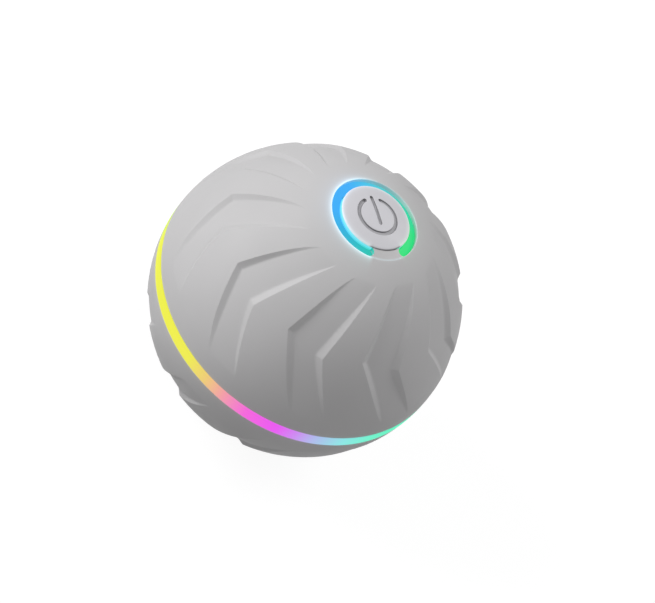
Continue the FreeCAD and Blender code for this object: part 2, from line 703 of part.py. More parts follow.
def clip(name, angle, rise):
    """A block on the shell's wall with a hole that a cable runs through, at an angle round Z and a rise
    above the equator. Returns the block and its hole."""
    turn = FreeCAD.Rotation(Z_AXIS, angle) * FreeCAD.Rotation(V(0, 1, 0), -rise)
    inner = "cable_track - cable_radius - clip_wall"
    half = value("clip_width") / 2
    lug = doc.addObject("Part::Box", name)
    bind(lug, Length=f"mid_wall - ({inner})", Width="clip_width", Height="clip_width")
    lug.Placement = FreeCAD.Placement(turn.multVec(V(value(inner), -half, -half)), turn)
    hole = doc.addObject("Part::Cylinder", name + "_hole")
    bind(hole, Radius="cable_radius + cable_gap", Height="2 * clip_width")
    hole.Placement = FreeCAD.Placement(turn.multVec(V(value("cable_track"), 0, -2 * half)), turn)
    return lug, hole


def chassis_screw_ring():
    """Number, first angle and step of the screws round the chassis flange."""
    return int(value("chassis_screw_count")), "chassis_screw_side", "360 / chassis_screw_count"


def board_screw_ring():
    """The same for the main board and the charge board."""
    return int(value("board_screw_count")), "board_screw_side", "360 / board_screw_count"


def peg_ring():
    """The same for the light pegs and the diodes below them."""
    return int(value("light_peg_count")), "light_from + peg_step / 2", "peg_step"


def button_screw_ring():
    """The same for the button board's screws, which stand between the light pegs."""
    return int(value("light_peg_count / 2")), "light_from + peg_step", "2 * peg_step"


def bosses(name, circle_radius, radius, low, high, count, first, step):
    """Round bosses that grow out of the shell's wall, ended inside the wall."""
    posts = []
    for i in range(count):
        x, y = around(circle_radius, f"({first}) + {i} * ({step})")
        posts.append(cylinder(f"{name}_{i + 1}", radius, low, high, x, y))
    return common(name, group(name + "_posts", posts), ball(name + "_limit", "mid_wall"))


def holes(name, circle_radius, radius, low, high, count, first, step):
    drilled = []
    for i in range(count):
        x, y = around(circle_radius, f"({first}) + {i} * ({step})")
        drilled.append(cylinder(f"{name}_{i + 1}", radius, low, high, x, y))
    return group(name, drilled)


def peg_holes(name):
    return holes(name, "light_middle", "light_peg_radius + fit_gap",
                 "button_board_top", "ball_radius", *peg_ring())


def upper_shell():
    """A deep dome with a stepped opening for the button, a tongue round its rim and bosses inside."""
    dome = revolved("upper_dome", [
        (None, "flange_half"), arc("shell_outer"), ("bezel_radius", None),
        ("bezel_radius", "pocket_floor"), ("stem_hole", "pocket_floor"),
        ("stem_hole", None), arc("shell_inner"), (None, "flange_half"),
        ("tongue_in", "flange_half"), ("tongue_in", "flange_half - tongue_depth"),
        ("tongue_out", "flange_half - tongue_depth"), ("tongue_out", "flange_half"),
    ])
    chassis_bosses = bosses("chassis_bosses", "chassis_screw_circle", "chassis_boss_radius",
                            "flange_top", "ball_radius", *chassis_screw_ring())
    board_bosses = bosses("button_bosses", "button_screw_circle", "small_boss_radius",
                          "button_board_top", "ball_radius", *button_screw_ring())
    charge_clip, charge_hole = clip("upper_charge_clip", CHARGE_SIDE, value("clip_angle"))
    light_clip, light_hole = clip("upper_light_clip", LIGHT_SIDE, value("clip_angle"))
    solid = fuse("upper_shell_solid", dome, chassis_bosses, board_bosses, charge_clip, light_clip)
    keep("upper_shell", cut(
        "upper_shell_drilled", solid,
        holes("chassis_pilots", "chassis_screw_circle", "big_screw_radius + fit_gap", "flange_top - 1",
              "flange_top + chassis_thread + thread_room", *chassis_screw_ring()),
        holes("button_pilots", "button_screw_circle", "screw_radius + fit_gap", "button_board_top - 1",
              "button_board_top + button_thread + thread_room", *button_screw_ring()),
        peg_holes("shell_peg_holes"), charge_hole, light_hole))


def lower_shell():
    """The other dome, with a flat recess floor at its pole and a slot for the charging socket."""
    dome = revolved("lower_dome", [
        (None, "flange_half"), arc("shell_outer"), ("port_radius", None),
        ("port_radius", "-port_floor"), ("0", "-port_floor"),
        ("0", None), arc("shell_inner"), (None, "flange_half"),
        ("tongue_in", "flange_half"), ("tongue_in", "flange_half - tongue_depth"),
        ("tongue_out", "flange_half - tongue_depth"), ("tongue_out", "flange_half"),
    ], side=-1)
    board_bosses = bosses("charge_bosses", "charge_screw_circle", "standoff_radius",
                          "-ball_radius", "charge_low", *board_screw_ring())
    charge_clip, charge_hole = clip("lower_charge_clip", CHARGE_SIDE, -value("clip_angle"))
    solid = fuse("lower_shell_solid", dome, board_bosses, charge_clip)
    keep("lower_shell", cut(
        "lower_shell_drilled", solid,
        stadium("port_slot", "port_width + 2 * fit_gap", "port_height + 2 * fit_gap",
                "-ball_radius", "charge_low"),
        holes("charge_pilots", "charge_screw_circle", "screw_radius + fit_gap",
              "charge_low - charge_thread - thread_room", "charge_low + 1", *board_screw_ring()), charge_hole))


def equator_light():
    """The clear ring between the covers. Its inner flange has a slot above and below for the tongues of
    the shells, and the diodes of the flexible strip stand against its inside."""
    slots = []
    for sign in ("-", ""):
        edge, deep = f"{sign}flange_half", f"{sign}(flange_half - tongue_depth - fit_gap)"
        slots.append([
            ("shell_inner", edge), ("tongue_in - fit_gap", edge), ("tongue_in - fit_gap", deep),
            ("tongue_out + fit_gap", deep), ("tongue_out + fit_gap", edge), ("ring_outer_step", edge),
        ])
    keep("equator_light_ring", revolved("light_ring", [
        *slots[0], ("ring_outer_step", "-ring_half"), (None, "-ring_half"), arc("ball_radius"),
        (None, "ring_half"), ("ring_outer_step", "ring_half"), *reversed(slots[1]),
    ]))
    keep("equator_light_strip", tube("light_strip", "strip_inner", "strip_outer",
                                     "-strip_height / 2", "strip_height / 2"))
    count = int(value("led_count"))
    diodes = []
    for i in range(count):
        angle = 360.0 * (i + 0.5) / count
        x, y = around("strip_outer + led_depth / 2", angle)
        diodes.append(block(f"diode_{i + 1}", "led_depth", "led_width",
                            "-led_height / 2", "led_height / 2", x, y, angle))
    keep("equator_diodes", group("diodes", diodes))


# Power button


def power_button():
    """A domed cap on a stem, with the power symbol sunk into the dome."""
    cap = revolved("button_cap", [
        ("0", None), arc("ball_radius"), ("button_radius", None),
        ("button_radius", "button_edge - button_skirt"),
        ("button_radius - button_wall", "button_edge - button_skirt"),
        ("button_radius - button_wall", "cap_under"), ("stem_radius", "cap_under"),
        ("stem_radius", "plunger_top"), ("0", "plunger_top"),
    ])
    upward = value("symbol_up") - 90
    inside, outside = "symbol_radius - symbol_stroke / 2", "symbol_radius + symbol_stroke / 2"
    low, high = "button_edge - 1", "ball_radius + 1"
    loop = revolved("symbol_loop", [(inside, low), (outside, low), (outside, high), (inside, high)],
                    angle="360 - symbol_gap", start=upward + value("symbol_gap") / 2)
    middle = "(symbol_bar_out - symbol_bar_in) / 2"
    bar = block("symbol_bar", "symbol_bar_out + symbol_bar_in", "symbol_stroke", low, high,
                f"{middle} * cos({upward})", f"{middle} * sin({upward})", upward)
    sunk = cut("symbol_sunk", fuse("symbol", loop, bar), ball("symbol_floor", "ball_radius - symbol_depth"))
    keep("power_button", cut("button_with_symbol", cap, sunk))


def button_parts():
    """The boot seals the button and pushes it back. The bezel and the C-shaped light ring clamp its
    flange, and the light ring's pegs reach down through the shell to the diodes on the button board."""
    boot = revolved("boot", [
        ("stem_hole", "pocket_floor"), ("light_outer", "pocket_floor"), ("light_outer", "gasket_top"),
        ("stem_hole + gasket_wall", "gasket_top"), ("stem_radius + boot_collar", "cap_under - fit_gap"),
        ("stem_radius + fit_gap", "cap_under - fit_gap"),
        ("stem_radius + fit_gap", "cap_under - fit_gap - boot_collar_height"),
        ("stem_radius + boot_collar - 2 * gasket_wall / 3", "cap_under - fit_gap - boot_collar_height"),
    ])
    keep("button_boot", cut("boot_with_holes", boot, peg_holes("boot_peg_holes")))
    ends = [around("light_middle", f"light_from + {end}") for end in ("light_end", "light_sweep - light_end")]
    bridge = revolved("light_bridge", [
        ("light_inner", "gasket_top + bezel_base / 2"), ("light_outer", "gasket_top + bezel_base / 2"),
        ("light_outer", None), arc("ball_radius"), ("light_inner", None),
    ], angle="360 - light_sweep + 2 * light_end", start=value("light_from + light_sweep - light_end"))
    rounded = cut("bridge_rounded", bridge, *(
        cylinder(f"bridge_end_{i}", "light_width / 2 + fit_gap", "light_seat", "ball_radius + 1", *end)
        for i, end in enumerate(ends)))
    base = tube("bezel_ring", "light_inner", "light_outer", "gasket_top", "light_seat")
    solid = fuse("bezel_solid", base, rounded)
    keep("button_bezel", cut("bezel_with_holes", solid, peg_holes("bezel_peg_holes")))
    crescent = revolved("light_crescent", [
        ("light_inner", "light_seat"), ("light_outer", "light_seat"), ("light_outer", None),
        arc("light_top"), ("light_inner", None),
    ], angle="light_sweep - 2 * light_end", start=value("light_from + light_end"))
    tips = common("light_tips", group("light_tip_posts", [
        cylinder(f"light_tip_{i}", "light_width / 2", "light_seat", "ball_radius", *end)
        for i, end in enumerate(ends)]), ball("light_tip_limit", "light_top"))
    pegs = holes("light_pegs", "light_middle", "light_peg_radius",
                 "button_board_top + button_diode_height + peg_gap", "light_seat + 0.3", *peg_ring())
    keep("power_light_ring", fuse("power_light", crescent, tips, pegs))


def button_board():
    board = cylinder("button_board_disc", "button_board_radius", "button_board_low", "button_board_top")
    keep("button_board", cut("button_board_drilled", board, holes(
        "button_board_holes", "button_screw_circle", "screw_radius + fit_gap",
        "button_board_low - 1", "button_board_top + 1", *button_screw_ring())))
    count, first, step = peg_ring()
    diodes = []
    for i in range(count):
        x, y = around("light_middle", f"{first} + {i} * {step}")
        diodes.append(block(f"button_diode_{i + 1}", "button_diode_width", "button_diode_width",
                            "button_board_top", "button_board_top + button_diode_height", x, y))
    keep("button_diodes", group("button_lights", diodes))
    keep("tact_switch", cut(
        "switch_hollow",
        block("switch_block", "switch_width", "switch_width", "button_board_top", "switch_top"),
        cylinder("switch_well", "plunger_radius + running_gap",
                 "switch_top - plunger_seat - button_travel - 2 * fit_gap", "switch_top + 1")))
    keep("switch_plunger", cylinder("plunger", "plunger_radius", "switch_top - plunger_seat", "plunger_top"))
    keep("button_board_screws", screws("button_screw", "button_screw_circle", "button_board_low",
                                       "small_board + button_thread", 1, button_screw_ring()))


def screw(name, face, length, up, x="0", y="0", kind=SMALL):
    """A pan-head screw with a cross recess. Its shank runs up (1) or down (-1) from the face under the head."""
    shank, head = kind

    def between(near, far):
        """Two heights in rising order, from distances beyond the face towards the screw's point."""
        low, high = (near, far) if up > 0 else (f"-({far})", f"-({near})")
        return f"({face}) + ({low})", f"({face}) + ({high})"

    solid = fuse(name + "_solid",
                 cylinder(name + "_shank", shank, *between("-0.1", length), x, y),
                 cylinder(name + "_head", head, *between("-screw_head", "0"), x, y))
    recess = between("-screw_head - 0.1", "-0.45 * screw_head")
    cross = fuse(name + "_cross",
                 block(name + "_slot", f"1.3 * {head}", f"0.25 * {head}", *recess, x, y),
                 block(name + "_slot_across", f"0.25 * {head}", f"1.3 * {head}", *recess, x, y))
    return cut(name, solid, cross)


def screws(name, circle_radius, face, length, up, ring, kind=SMALL):
    """Like screws round a circle, where the ring gives their number, first angle and step."""
    count, first, step = ring
    made = []
    for i in range(count):
        x, y = around(circle_radius, f"({first}) + {i} * ({step})")
        made.append(screw(f"{name}_{i + 1}", face, length, up, x, y, kind))
    return group(name + "_group", made)


# Chassis with battery, motor and gears


def motor_section(name, inset, low, high):
    """A round section with two flats across X, at the motor's place."""
    return common(name,
                  cylinder(name + "_round", f"motor_radius - ({inset})", low, high, "-motor_place"),
                  block(name + "_flats", f"motor_flat - 2 * ({inset})", "2 * motor_radius + 2", low, high,
                        "-motor_place"))


def case_spots():
    return [around("case_screw_circle", angle) for angle in CASE_SCREW_SIDES]


def axle_spots():
    return [around("first_axle_place", "first_angle"), around("last_centres", "second_angle")]


def chassis():
    """A cup with a flange. The cup grips the battery cell and the motor, the flange hangs under the
    bosses of the upper shell, and standoffs on it carry the main board."""
    owner = revolved("chassis_body", [
        ("core_radius", "flange_top"), ("flange_radius", "flange_top"), ("flange_radius", "flange_height"),
        ("core_outer", "flange_height"), ("core_outer", "floor_low"),
        ("bush_radius + press_gap", "floor_low"), ("bush_radius + press_gap", "core_floor"),
        ("core_radius", "core_floor"),
    ])
    pad(owner, "cradle", "core_floor", "cradle_height", circles(("core_radius + core_wall / 2",)))
    standoff = around("main_screw_circle", "board_screw_side")
    feature = pad(owner, "standoff", "flange_top", "main_board_low - flange_top",
                  circles(("standoff_radius", *standoff)))
    polar(owner, "standoffs", feature, "board_screw_count")
    feature = pocket(owner, "standoff_hole", "main_board_low", "main_thread + thread_room",
                     circles(("screw_radius + fit_gap", *standoff)))
    polar(owner, "standoff_holes", feature, "board_screw_count")
    first_screw = around("chassis_screw_circle", "chassis_screw_side")
    feature = pocket(owner, "flange_hole", "flange_top", "flange_wall",
                     circles(("big_screw_radius + fit_gap", *first_screw)))
    polar(owner, "flange_holes", feature, "chassis_screw_count")
    pocket(owner, "cell_seat", "core_floor + cradle_height", "cradle_height",
           circles(("cell_radius + seat_gap", "cell_place", "0")))
    cuts = [motor_section("motor_seat", "-seat_gap", "core_floor", "core_floor + cradle_height + 1"),
            cylinder("boss_hole", "motor_boss_radius + fit_gap", "floor_low - 1", "core_floor + 1",
                     "-motor_place")]
    for i, y in enumerate(("motor_screw_place", "-motor_screw_place")):
        cuts.append(cylinder(f"motor_screw_hole_{i}", "screw_radius + fit_gap",
                             "floor_low - 1", "core_floor + 1", "-motor_place", y))
        cuts.append(cylinder(f"motor_screw_sink_{i}", "screw_head_radius + fit_gap",
                             "floor_low - 1", "floor_low + screw_head", "-motor_place", y))
    for i, (x, y) in enumerate(case_spots()):
        cuts.append(cylinder(f"case_pilot_{i}", "screw_radius + fit_gap", "floor_low - 1",
                             "floor_low + case_thread + thread_room", x, y))
    for i, (x, y) in enumerate(axle_spots()):
        cuts.append(cylinder(f"axle_seat_{i}", "axle_radius + press_gap", "floor_low - 1",
                             "floor_low + axle_seat_above + 2 * fit_gap", x, y))
    keep("chassis", cut("chassis_drilled", owner, *cuts))
    keep("chassis_screws", screws("chassis_screw", "chassis_screw_circle", "flange_height",
                                  "flange_wall + chassis_thread", 1, chassis_screw_ring(), BIG))


def gear_case():
    """The cup under the cradle floor that closes the gear train and holds the lower bush."""
    owner = revolved("gear_case_body", [
        ("core_radius", "floor_low"), ("core_outer", "floor_low"), ("core_outer", "case_low"),
        ("bush_radius + press_gap", "case_low"), ("bush_radius + press_gap", "case_top"),
        ("core_radius", "case_top"),
    ])
    pad(owner, "case_bosses", "case_top - 0.1", "floor_low - case_top + 0.1",
        circles(*[("small_boss_radius", x, y) for x, y in case_spots()]))
    cuts = []
    for i, (x, y) in enumerate(case_spots()):
        cuts.append(cylinder(f"case_hole_{i}", "screw_radius + fit_gap", "case_low - 1", "floor_low + 1", x, y))
        cuts.append(cylinder(f"case_sink_{i}", "screw_head_radius + fit_gap",
                             "case_low - 1", "case_low + screw_head", x, y))
    for i, (x, y) in enumerate(axle_spots()):
        cuts.append(cylinder(f"axle_hole_{i}", "axle_radius + press_gap",
                             "case_top - axle_seat_below - 2 * fit_gap", "case_top + 0.01", x, y))
    keep("gear_case", cut("gear_case_drilled", owner, *cuts))
    made = []
    for i, (x, y) in enumerate(case_spots()):
        made.append(screw(f"case_screw_{i}", "case_low + screw_head",
                          "floor_low + case_thread - case_low - screw_head", 1, x, y))
    keep("gear_case_screws", group("case_screws", made))
    pins = []
    for i, (x, y) in enumerate(axle_spots()):
        pins.append(cylinder(f"axle_{i}", "axle_radius",
                             "case_top - axle_seat_below", "floor_low + axle_seat_above", x, y))
    keep("gear_axles", group("axles", pins))
    bore = "shaft_radius + running_gap"
    keep("shaft_bushes", group("bushes", [
        tube("upper_bush", bore, "bush_radius", "floor_low", "core_floor - 2 * fit_gap"),
        tube("lower_bush", bore, "bush_radius", "case_low", "case_top")]))


def battery():
    top, shoulder = "cell_top", "cell_top - cell_cap_height"
    cell = revolved("cell", [
        ("0", "core_floor"), ("cell_radius - cell_edge", "core_floor"),
        ("cell_radius", "core_floor + cell_edge"),
        ("cell_radius", f"{shoulder} - cell_edge"), ("cell_radius - cell_edge", shoulder),
        ("cell_cap_radius", shoulder), ("cell_cap_radius", top), ("0", top),
    ])
    place(cell, x="cell_place")
    keep("battery_cell", cell)
    plus = fuse("plus_tab",
                block("plus_flat", "tab_flat", "tab_width", top, "cell_top + tab_wall", "cell_place"),
                block("plus_riser", "tab_wall", "tab_width", top, "main_board_low",
                      "cell_place + (tab_flat - tab_wall) / 2"))
    minus = block("minus_tab", "tab_wall", "tab_width", "cell_top - tab_overlap", "main_board_low",
                  "cell_place + cell_radius + tab_wall / 2")
    keep("battery_tabs", group("tabs", [plus, minus]))
    keep("battery_foam", block("foam", "foam_width", "foam_length", shoulder, "main_board_low",
                               "cell_place - cell_cap_radius - cell_edge - foam_width / 2"))


def motor():
    can = fuse("motor_can_solid", motor_section("motor_outside", "0", "core_floor", "motor_top"),
               cylinder("motor_nose", "motor_boss_radius", "core_floor - motor_boss_height", "core_floor + 0.1",
                        "-motor_place"))
    bores = [motor_section("motor_inside", "motor_wall", "core_floor + motor_wall", "motor_top + 1"),
             cylinder("motor_nose_bore", "motor_shaft_radius + running_gap", "floor_low", "core_floor + 2",
                      "-motor_place")]
    for i, y in enumerate(("motor_screw_place", "-motor_screw_place")):
        bores.append(cylinder(f"motor_thread_{i}", "screw_radius + fit_gap", "floor_low", "core_floor + 2",
                              "-motor_place", y))
    keep("motor_can", cut("motor_can_bored", can, *bores))
    cap = motor_section("motor_cap_plug", "motor_wall + fit_gap", "motor_top - motor_cap_wall", "motor_top")
    keep("motor_end_cap", cut("motor_cap_bored", cap, cylinder(
        "motor_cap_bore", "motor_shaft_radius + running_gap", "motor_top - motor_cap_wall - 1",
        "motor_top - motor_wall", "-motor_place")))
    keep("motor_magnets", common(
        "magnet_arcs",
        tube("magnet_tube", "magnet_inner", "motor_radius - motor_wall - fit_gap", "magnet_low", "magnet_top",
             "-motor_place"),
        block("magnet_sides", "magnet_width", "2 * motor_radius", "magnet_low", "magnet_top", "-motor_place")))
    core = cylinder("armature_disc", "armature_radius", "armature_low", "armature_top", "-motor_place")
    cutting = "armature_low - 1", "armature_top + 1"
    slots = []
    for i in range(3):
        angle = 120 * i + 60
        x, y = around("winding_slot_place", str(angle))
        slots.append(cylinder(f"winding_slot_{i}", "winding_slot_radius", *cutting, f"{x} - motor_place", y))
        x, y = around("armature_radius", str(angle))
        slots.append(block(f"winding_mouth_{i}", "2 * (armature_radius - winding_slot_place)", "winding_mouth",
                           *cutting, f"{x} - motor_place", y, angle))
    bore = cylinder("armature_bore", "motor_shaft_radius + press_gap", *cutting, "-motor_place")
    keep("motor_armature", cut("armature_slotted", core, fuse("winding_slots", *slots), bore))
    keep("motor_commutator", tube("commutator", "motor_shaft_radius + press_gap", "commutator_radius",
                                  "commutator_low", "commutator_low + commutator_length", "-motor_place"))
    keep("motor_shaft", cylinder("rotor_shaft", "motor_shaft_radius", "first_low",
                                 "motor_top - motor_wall - 2 * fit_gap", "-motor_place"))
    sides = (("a", "1"), ("b", "-1"))
    keep("motor_terminals", group("terminals", [
        block(f"terminal_{side}", "terminal_width", "terminal_wall", "motor_top", "motor_top + terminal_height",
              "-motor_place", f"{sign} * terminal_place")
        for side, sign in sides]))
    keep("motor_screws", group("motor_screw_pair", [
        screw(f"motor_screw_{side}", "floor_low + screw_head", "core_floor_wall - screw_head + motor_thread", 1,
              "-motor_place", f"{sign} * motor_screw_place")
        for side, sign in sides]))


# Gear train. Small pinions have a positive profile shift and their wheels the same negative one, so the
# axle distances stay those of plain gears.
FINE_SHIFT = 0.4
COARSE_SHIFT = 0.3
PRESSURE = math.radians(20)


def involute(angle):
    return math.tan(angle) - angle


def gear_face(module, teeth, shift, phase):
    """The outline of an involute gear. The first tooth is centred on the angle phase, in degrees."""
    pitch, base = module * teeth / 2, module * teeth / 2 * math.cos(PRESSURE)
    tip = pitch + module * (1 + shift)
    root = pitch - module * (1.25 - shift)
    thickness = module * (math.pi / 2 + 2 * shift * math.tan(PRESSURE)) - value("tooth_backlash")
    half = thickness / (2 * pitch) + involute(PRESSURE)
    start = max(base, root)
    flank = []
    for i in range(6):
        radius = start + (tip - start) * i / 5
        flank.append((radius, half - involute(math.acos(min(1.0, base / radius)))))
    edges = []
    step = 2 * math.pi / teeth
    for i in range(teeth):
        middle = math.radians(phase) + i * step
        rising = [polar_point(radius, middle - turn) for radius, turn in flank]
        falling = [polar_point(radius, middle + turn) for radius, turn in reversed(flank)]
        foot = polar_point(root, middle - flank[0][1])
        heel = polar_point(root, middle + flank[0][1])
        after = polar_point(root, middle + step - flank[0][1])
        if foot.distanceToPoint(rising[0]) > 1e-6:
            edges.append(Part.LineSegment(foot, rising[0]).toShape())
        edges.append(spline(rising))
        edges.append(Part.Arc(rising[-1], polar_point(tip, middle), falling[0]).toShape())
        edges.append(spline(falling))
        if heel.distanceToPoint(falling[-1]) > 1e-6:
            edges.append(Part.LineSegment(falling[-1], heel).toShape())
        edges.append(Part.Arc(heel, polar_point(root, middle + step / 2), after).toShape())
    return Part.Face(Part.Wire(edges))


def polar_point(radius, angle):
    return V(radius * math.cos(angle), radius * math.sin(angle), 0)


def spline(points):
    curve = Part.BSplineCurve()
    curve.interpolate(points)
    return curve.toShape()


def gear_solid(module, teeth, shift, phase, low, high):
    face = gear_face(value(module), int(value(teeth)), shift, phase)
    face.translate(V(0, 0, value(low)))
    return face.extrude(V(0, 0, value(high) - value(low)))


def meshing_phase(phase, teeth, direction, next_teeth):
    """The phase of the next gear, whose centre lies in a direction, so that its gap meets the tooth."""
    return direction + 180 + 180 / next_teeth - (phase - direction) * teeth / next_teeth


def direction_between(start, end):
    return math.degrees(math.atan2(value(end[1]) - value(start[1]), value(end[0]) - value(start[0])))


def gears():
    """Motor pinion, two compound gears on fixed axles, and the output gear on the ball's axis."""
    teeth = {name: int(value(name)) for name in ("pinion_teeth", "first_wheel_teeth", "first_pinion_teeth",
                                                 "second_wheel_teeth", "second_pinion_teeth", "output_teeth")}
    first, second = axle_spots()
    motor_spot, centre = ("-motor_place", "0"), ("0", "0")
    second_phase = meshing_phase(0.0, teeth["output_teeth"], direction_between(centre, second),
                                 teeth["second_pinion_teeth"])
    first_phase = meshing_phase(second_phase, teeth["second_wheel_teeth"], direction_between(second, first),
                                teeth["first_pinion_teeth"])
    pinion_phase = meshing_phase(first_phase, teeth["first_wheel_teeth"], direction_between(first, motor_spot),
                                 teeth["pinion_teeth"])
    train = [
        ("output_gear", centre, "shaft_radius + press_gap",
         [("coarse_module", "output_teeth", -COARSE_SHIFT, 0.0, "last_low", "last_top")]),
        ("second_reduction_gear", second, "axle_radius + running_gap",
         [("fine_module", "second_wheel_teeth", -FINE_SHIFT, second_phase, "second_low", "second_top"),
          ("coarse_module", "second_pinion_teeth", COARSE_SHIFT, second_phase, "last_low", "second_low")]),
        ("first_reduction_gear", first, "axle_radius + running_gap",
         [("fine_module", "first_wheel_teeth", -FINE_SHIFT, first_phase, "first_low", "first_top"),
          ("fine_module", "first_pinion_teeth", FINE_SHIFT, first_phase, "second_low", "first_low")]),
        ("motor_pinion", motor_spot, "motor_shaft_radius + press_gap",
         [("fine_module", "pinion_teeth", FINE_SHIFT, pinion_phase, "first_low", "first_top")]),
    ]
    for name, (x, y), bore, wheels in train:
        blanks = []
        for i, wheel in enumerate(wheels):
            blanks.append(shape_node(f"{name}_teeth_{i}", gear_solid(*wheel)))
        solid = blanks[0] if len(blanks) == 1 else fuse(name + "_solid", *blanks)
        gear = cut(name + "_bored", solid, cylinder(name + "_bore", bore, "last_low - 1", "first_top + 1"))
        keep(name, place(gear, x, y))


# Output shaft, arm and weight


def pendulum():
    """The shaft carries an arm, and the arm a heavy crescent that swings round the chassis cup."""
    tapped = cylinder("shaft_thread", "screw_radius + fit_gap",
                      "arm_low - 1", "arm_low + arm_thread + thread_room")
    keep("output_shaft", cut(
        "shaft_tapped", cylinder("shaft", "shaft_radius", "arm_low", "core_floor - shaft_end_gap"), tapped))
    start = WEIGHT_SIDE - value("weight_angle") / 2
    plate = revolved("arm_plate", [
        ("0", "arm_low"), ("arm_outer", "arm_low"), ("arm_outer", "arm_top"), ("0", "arm_top"),
    ], angle="weight_angle", start=start)
    hub = cylinder("arm_hub", "arm_hub_radius", "arm_low", "arm_top + arm_gap / 2")
    spots = [around("weight_screw_circle", f"{WEIGHT_SIDE} + {i} * weight_screw_spread") for i in (-1, 0, 1)]
    cuts = [cylinder("arm_bore", "shaft_radius + press_gap", "arm_low - 1", "arm_top + 2")]
    taps = []
    for i, (x, y) in enumerate(spots):
        cuts.append(cylinder(f"arm_hole_{i}", "big_screw_radius + fit_gap", "arm_low - 1", "arm_top + 1", x, y))
        cuts.append(cylinder(f"arm_sink_{i}", "big_head_radius + fit_gap",
                             "arm_low - 1", "arm_low + screw_head", x, y))
        taps.append(cylinder(f"weight_tap_{i}", "big_screw_radius + fit_gap", "arm_top - 1",
                             "arm_top + weight_thread + thread_room", x, y))
    keep("pendulum_arm", cut("arm_drilled", fuse("arm_solid", plate, hub), *cuts))
    crescent = revolved("weight_crescent", [
        ("weight_inner", "-arm_top"), (None, "-arm_top"), arc("sweep_radius"), ("weight_outer", None),
        ("weight_outer", "-weight_top"), ("weight_inner", "-weight_top"),
    ], side=-1, angle="weight_angle", start=start)
    keep("eccentric_weight", cut("weight_tapped", crescent, *taps))
    made = []
    for i, (x, y) in enumerate(spots):
        made.append(screw(f"weight_screw_{i}", "arm_low + screw_head",
                          "arm_wall - screw_head + weight_thread", 1, x, y, BIG))
    keep("weight_screws", group("weight_screw_group", made))
    keep("arm_screw", screw("shaft_screw", "arm_low", "arm_thread", 1, kind=BROAD))


# Boards


def main_board():
    disc = cylinder("main_disc", "main_board_radius", "main_board_low", "main_board_top")
    keep("main_board", cut("main_board_drilled", disc, holes(
        "main_board_holes", "main_screw_circle", "screw_radius + fit_gap",
        "main_board_low - 1", "main_board_top + 1", *board_screw_ring())))
    keep("main_board_screws", screws("main_screw", "main_screw_circle", "main_board_top",
                                     "main_board_wall + main_thread", -1, board_screw_ring()))
    top = "main_board_top"
    keep("board_chips", group("chips", [
        block("controller", "controller_width", "controller_width", top, f"{top} + controller_height",
              *CONTROLLER_SPOT),
        block("motor_driver", "driver_length", "driver_width", top, f"{top} + driver_height", *DRIVER_SPOT),
        block("charger", "charger_width", "charger_width", top, f"{top} + charger_height", *CHARGER_SPOT)]))
    keep("power_inductor", block("inductor", "inductor_width", "inductor_width",
                                 top, f"{top} + inductor_height", *INDUCTOR_SPOT))
    keep("vibration_switch", cylinder("vibration_can", "vibration_radius", top, f"{top} + vibration_height",
                                      *VIBRATION_SPOT))
    keep("board_capacitors", group("capacitors", [
        cylinder(f"capacitor_{i}", "capacitor_radius", top, f"{top} + capacitor_height", *spot)
        for i, spot in enumerate(CAPACITOR_SPOTS)]))
    sockets = []
    for i, (angle, radius) in enumerate(((CHARGE_SIDE, "wall_socket_place"), (LIGHT_SIDE, "wall_socket_place"),
                                         (BUTTON_SIDE, "button_socket_place"))):
        x, y = around(radius, str(angle))
        sockets.append(block(f"board_socket_{i}", "socket_length", "socket_width",
                             top, f"{top} + socket_height", x, y, angle))
    keep("board_sockets", group("sockets", sockets))


def charging_port():
    """A charging socket that opens in a round recess at the lower pole, on a board of its own."""
    disc = cylinder("charge_disc", "charge_board_radius", "charge_low", "charge_top")
    keep("charge_board", cut("charge_board_drilled", disc, holes(
        "charge_board_holes", "charge_screw_circle", "screw_radius + fit_gap",
        "charge_low - 1", "charge_top + 1", *board_screw_ring())))
    keep("charge_board_screws", screws("charge_screw", "charge_screw_circle", "charge_top",
                                       "small_board + charge_thread", -1, board_screw_ring()))
    x, y = around("charge_socket_place", str(CHARGE_SIDE))
    keep("charge_cable_socket", block("charge_socket", "socket_length", "socket_width",
                                      "charge_top", "charge_top + socket_height", x, y, CHARGE_SIDE))
    keep("charging_socket", cut(
        "port_hollow", stadium("port_outside", "port_width", "port_height", "port_floor", "charge_low"),
        stadium("port_inside", "port_width - 2 * port_wall", "port_height - 2 * port_wall",
                "port_floor - 1", "charge_low - port_wall")))
    insulator = stadium("port_insulator", "port_width - 2 * port_wall - 2 * press_gap",
                        "port_height - 2 * port_wall - 2 * press_gap",
                        "port_floor + port_throat", "charge_low - port_wall")
    tongue = block("port_tongue", "contact_width", "contact_height", "port_floor + contact_setback",
                   "port_floor + port_throat + 0.5")
    keep("charging_contacts", fuse("port_contacts", insulator, tongue))
    keep("port_gasket", cut(
        "gasket_hollow",
        stadium("gasket_outside", "2 * gasket_reach", "port_height + 2 * port_gasket_wall",
                "port_gasket_low", "port_gasket_low + port_gasket_height"),
        stadium("gasket_inside", "port_width + 2 * fit_gap", "port_height + 2 * fit_gap",
                "port_gasket_low - 1", "port_gasket_low + port_gasket_height + 1")))


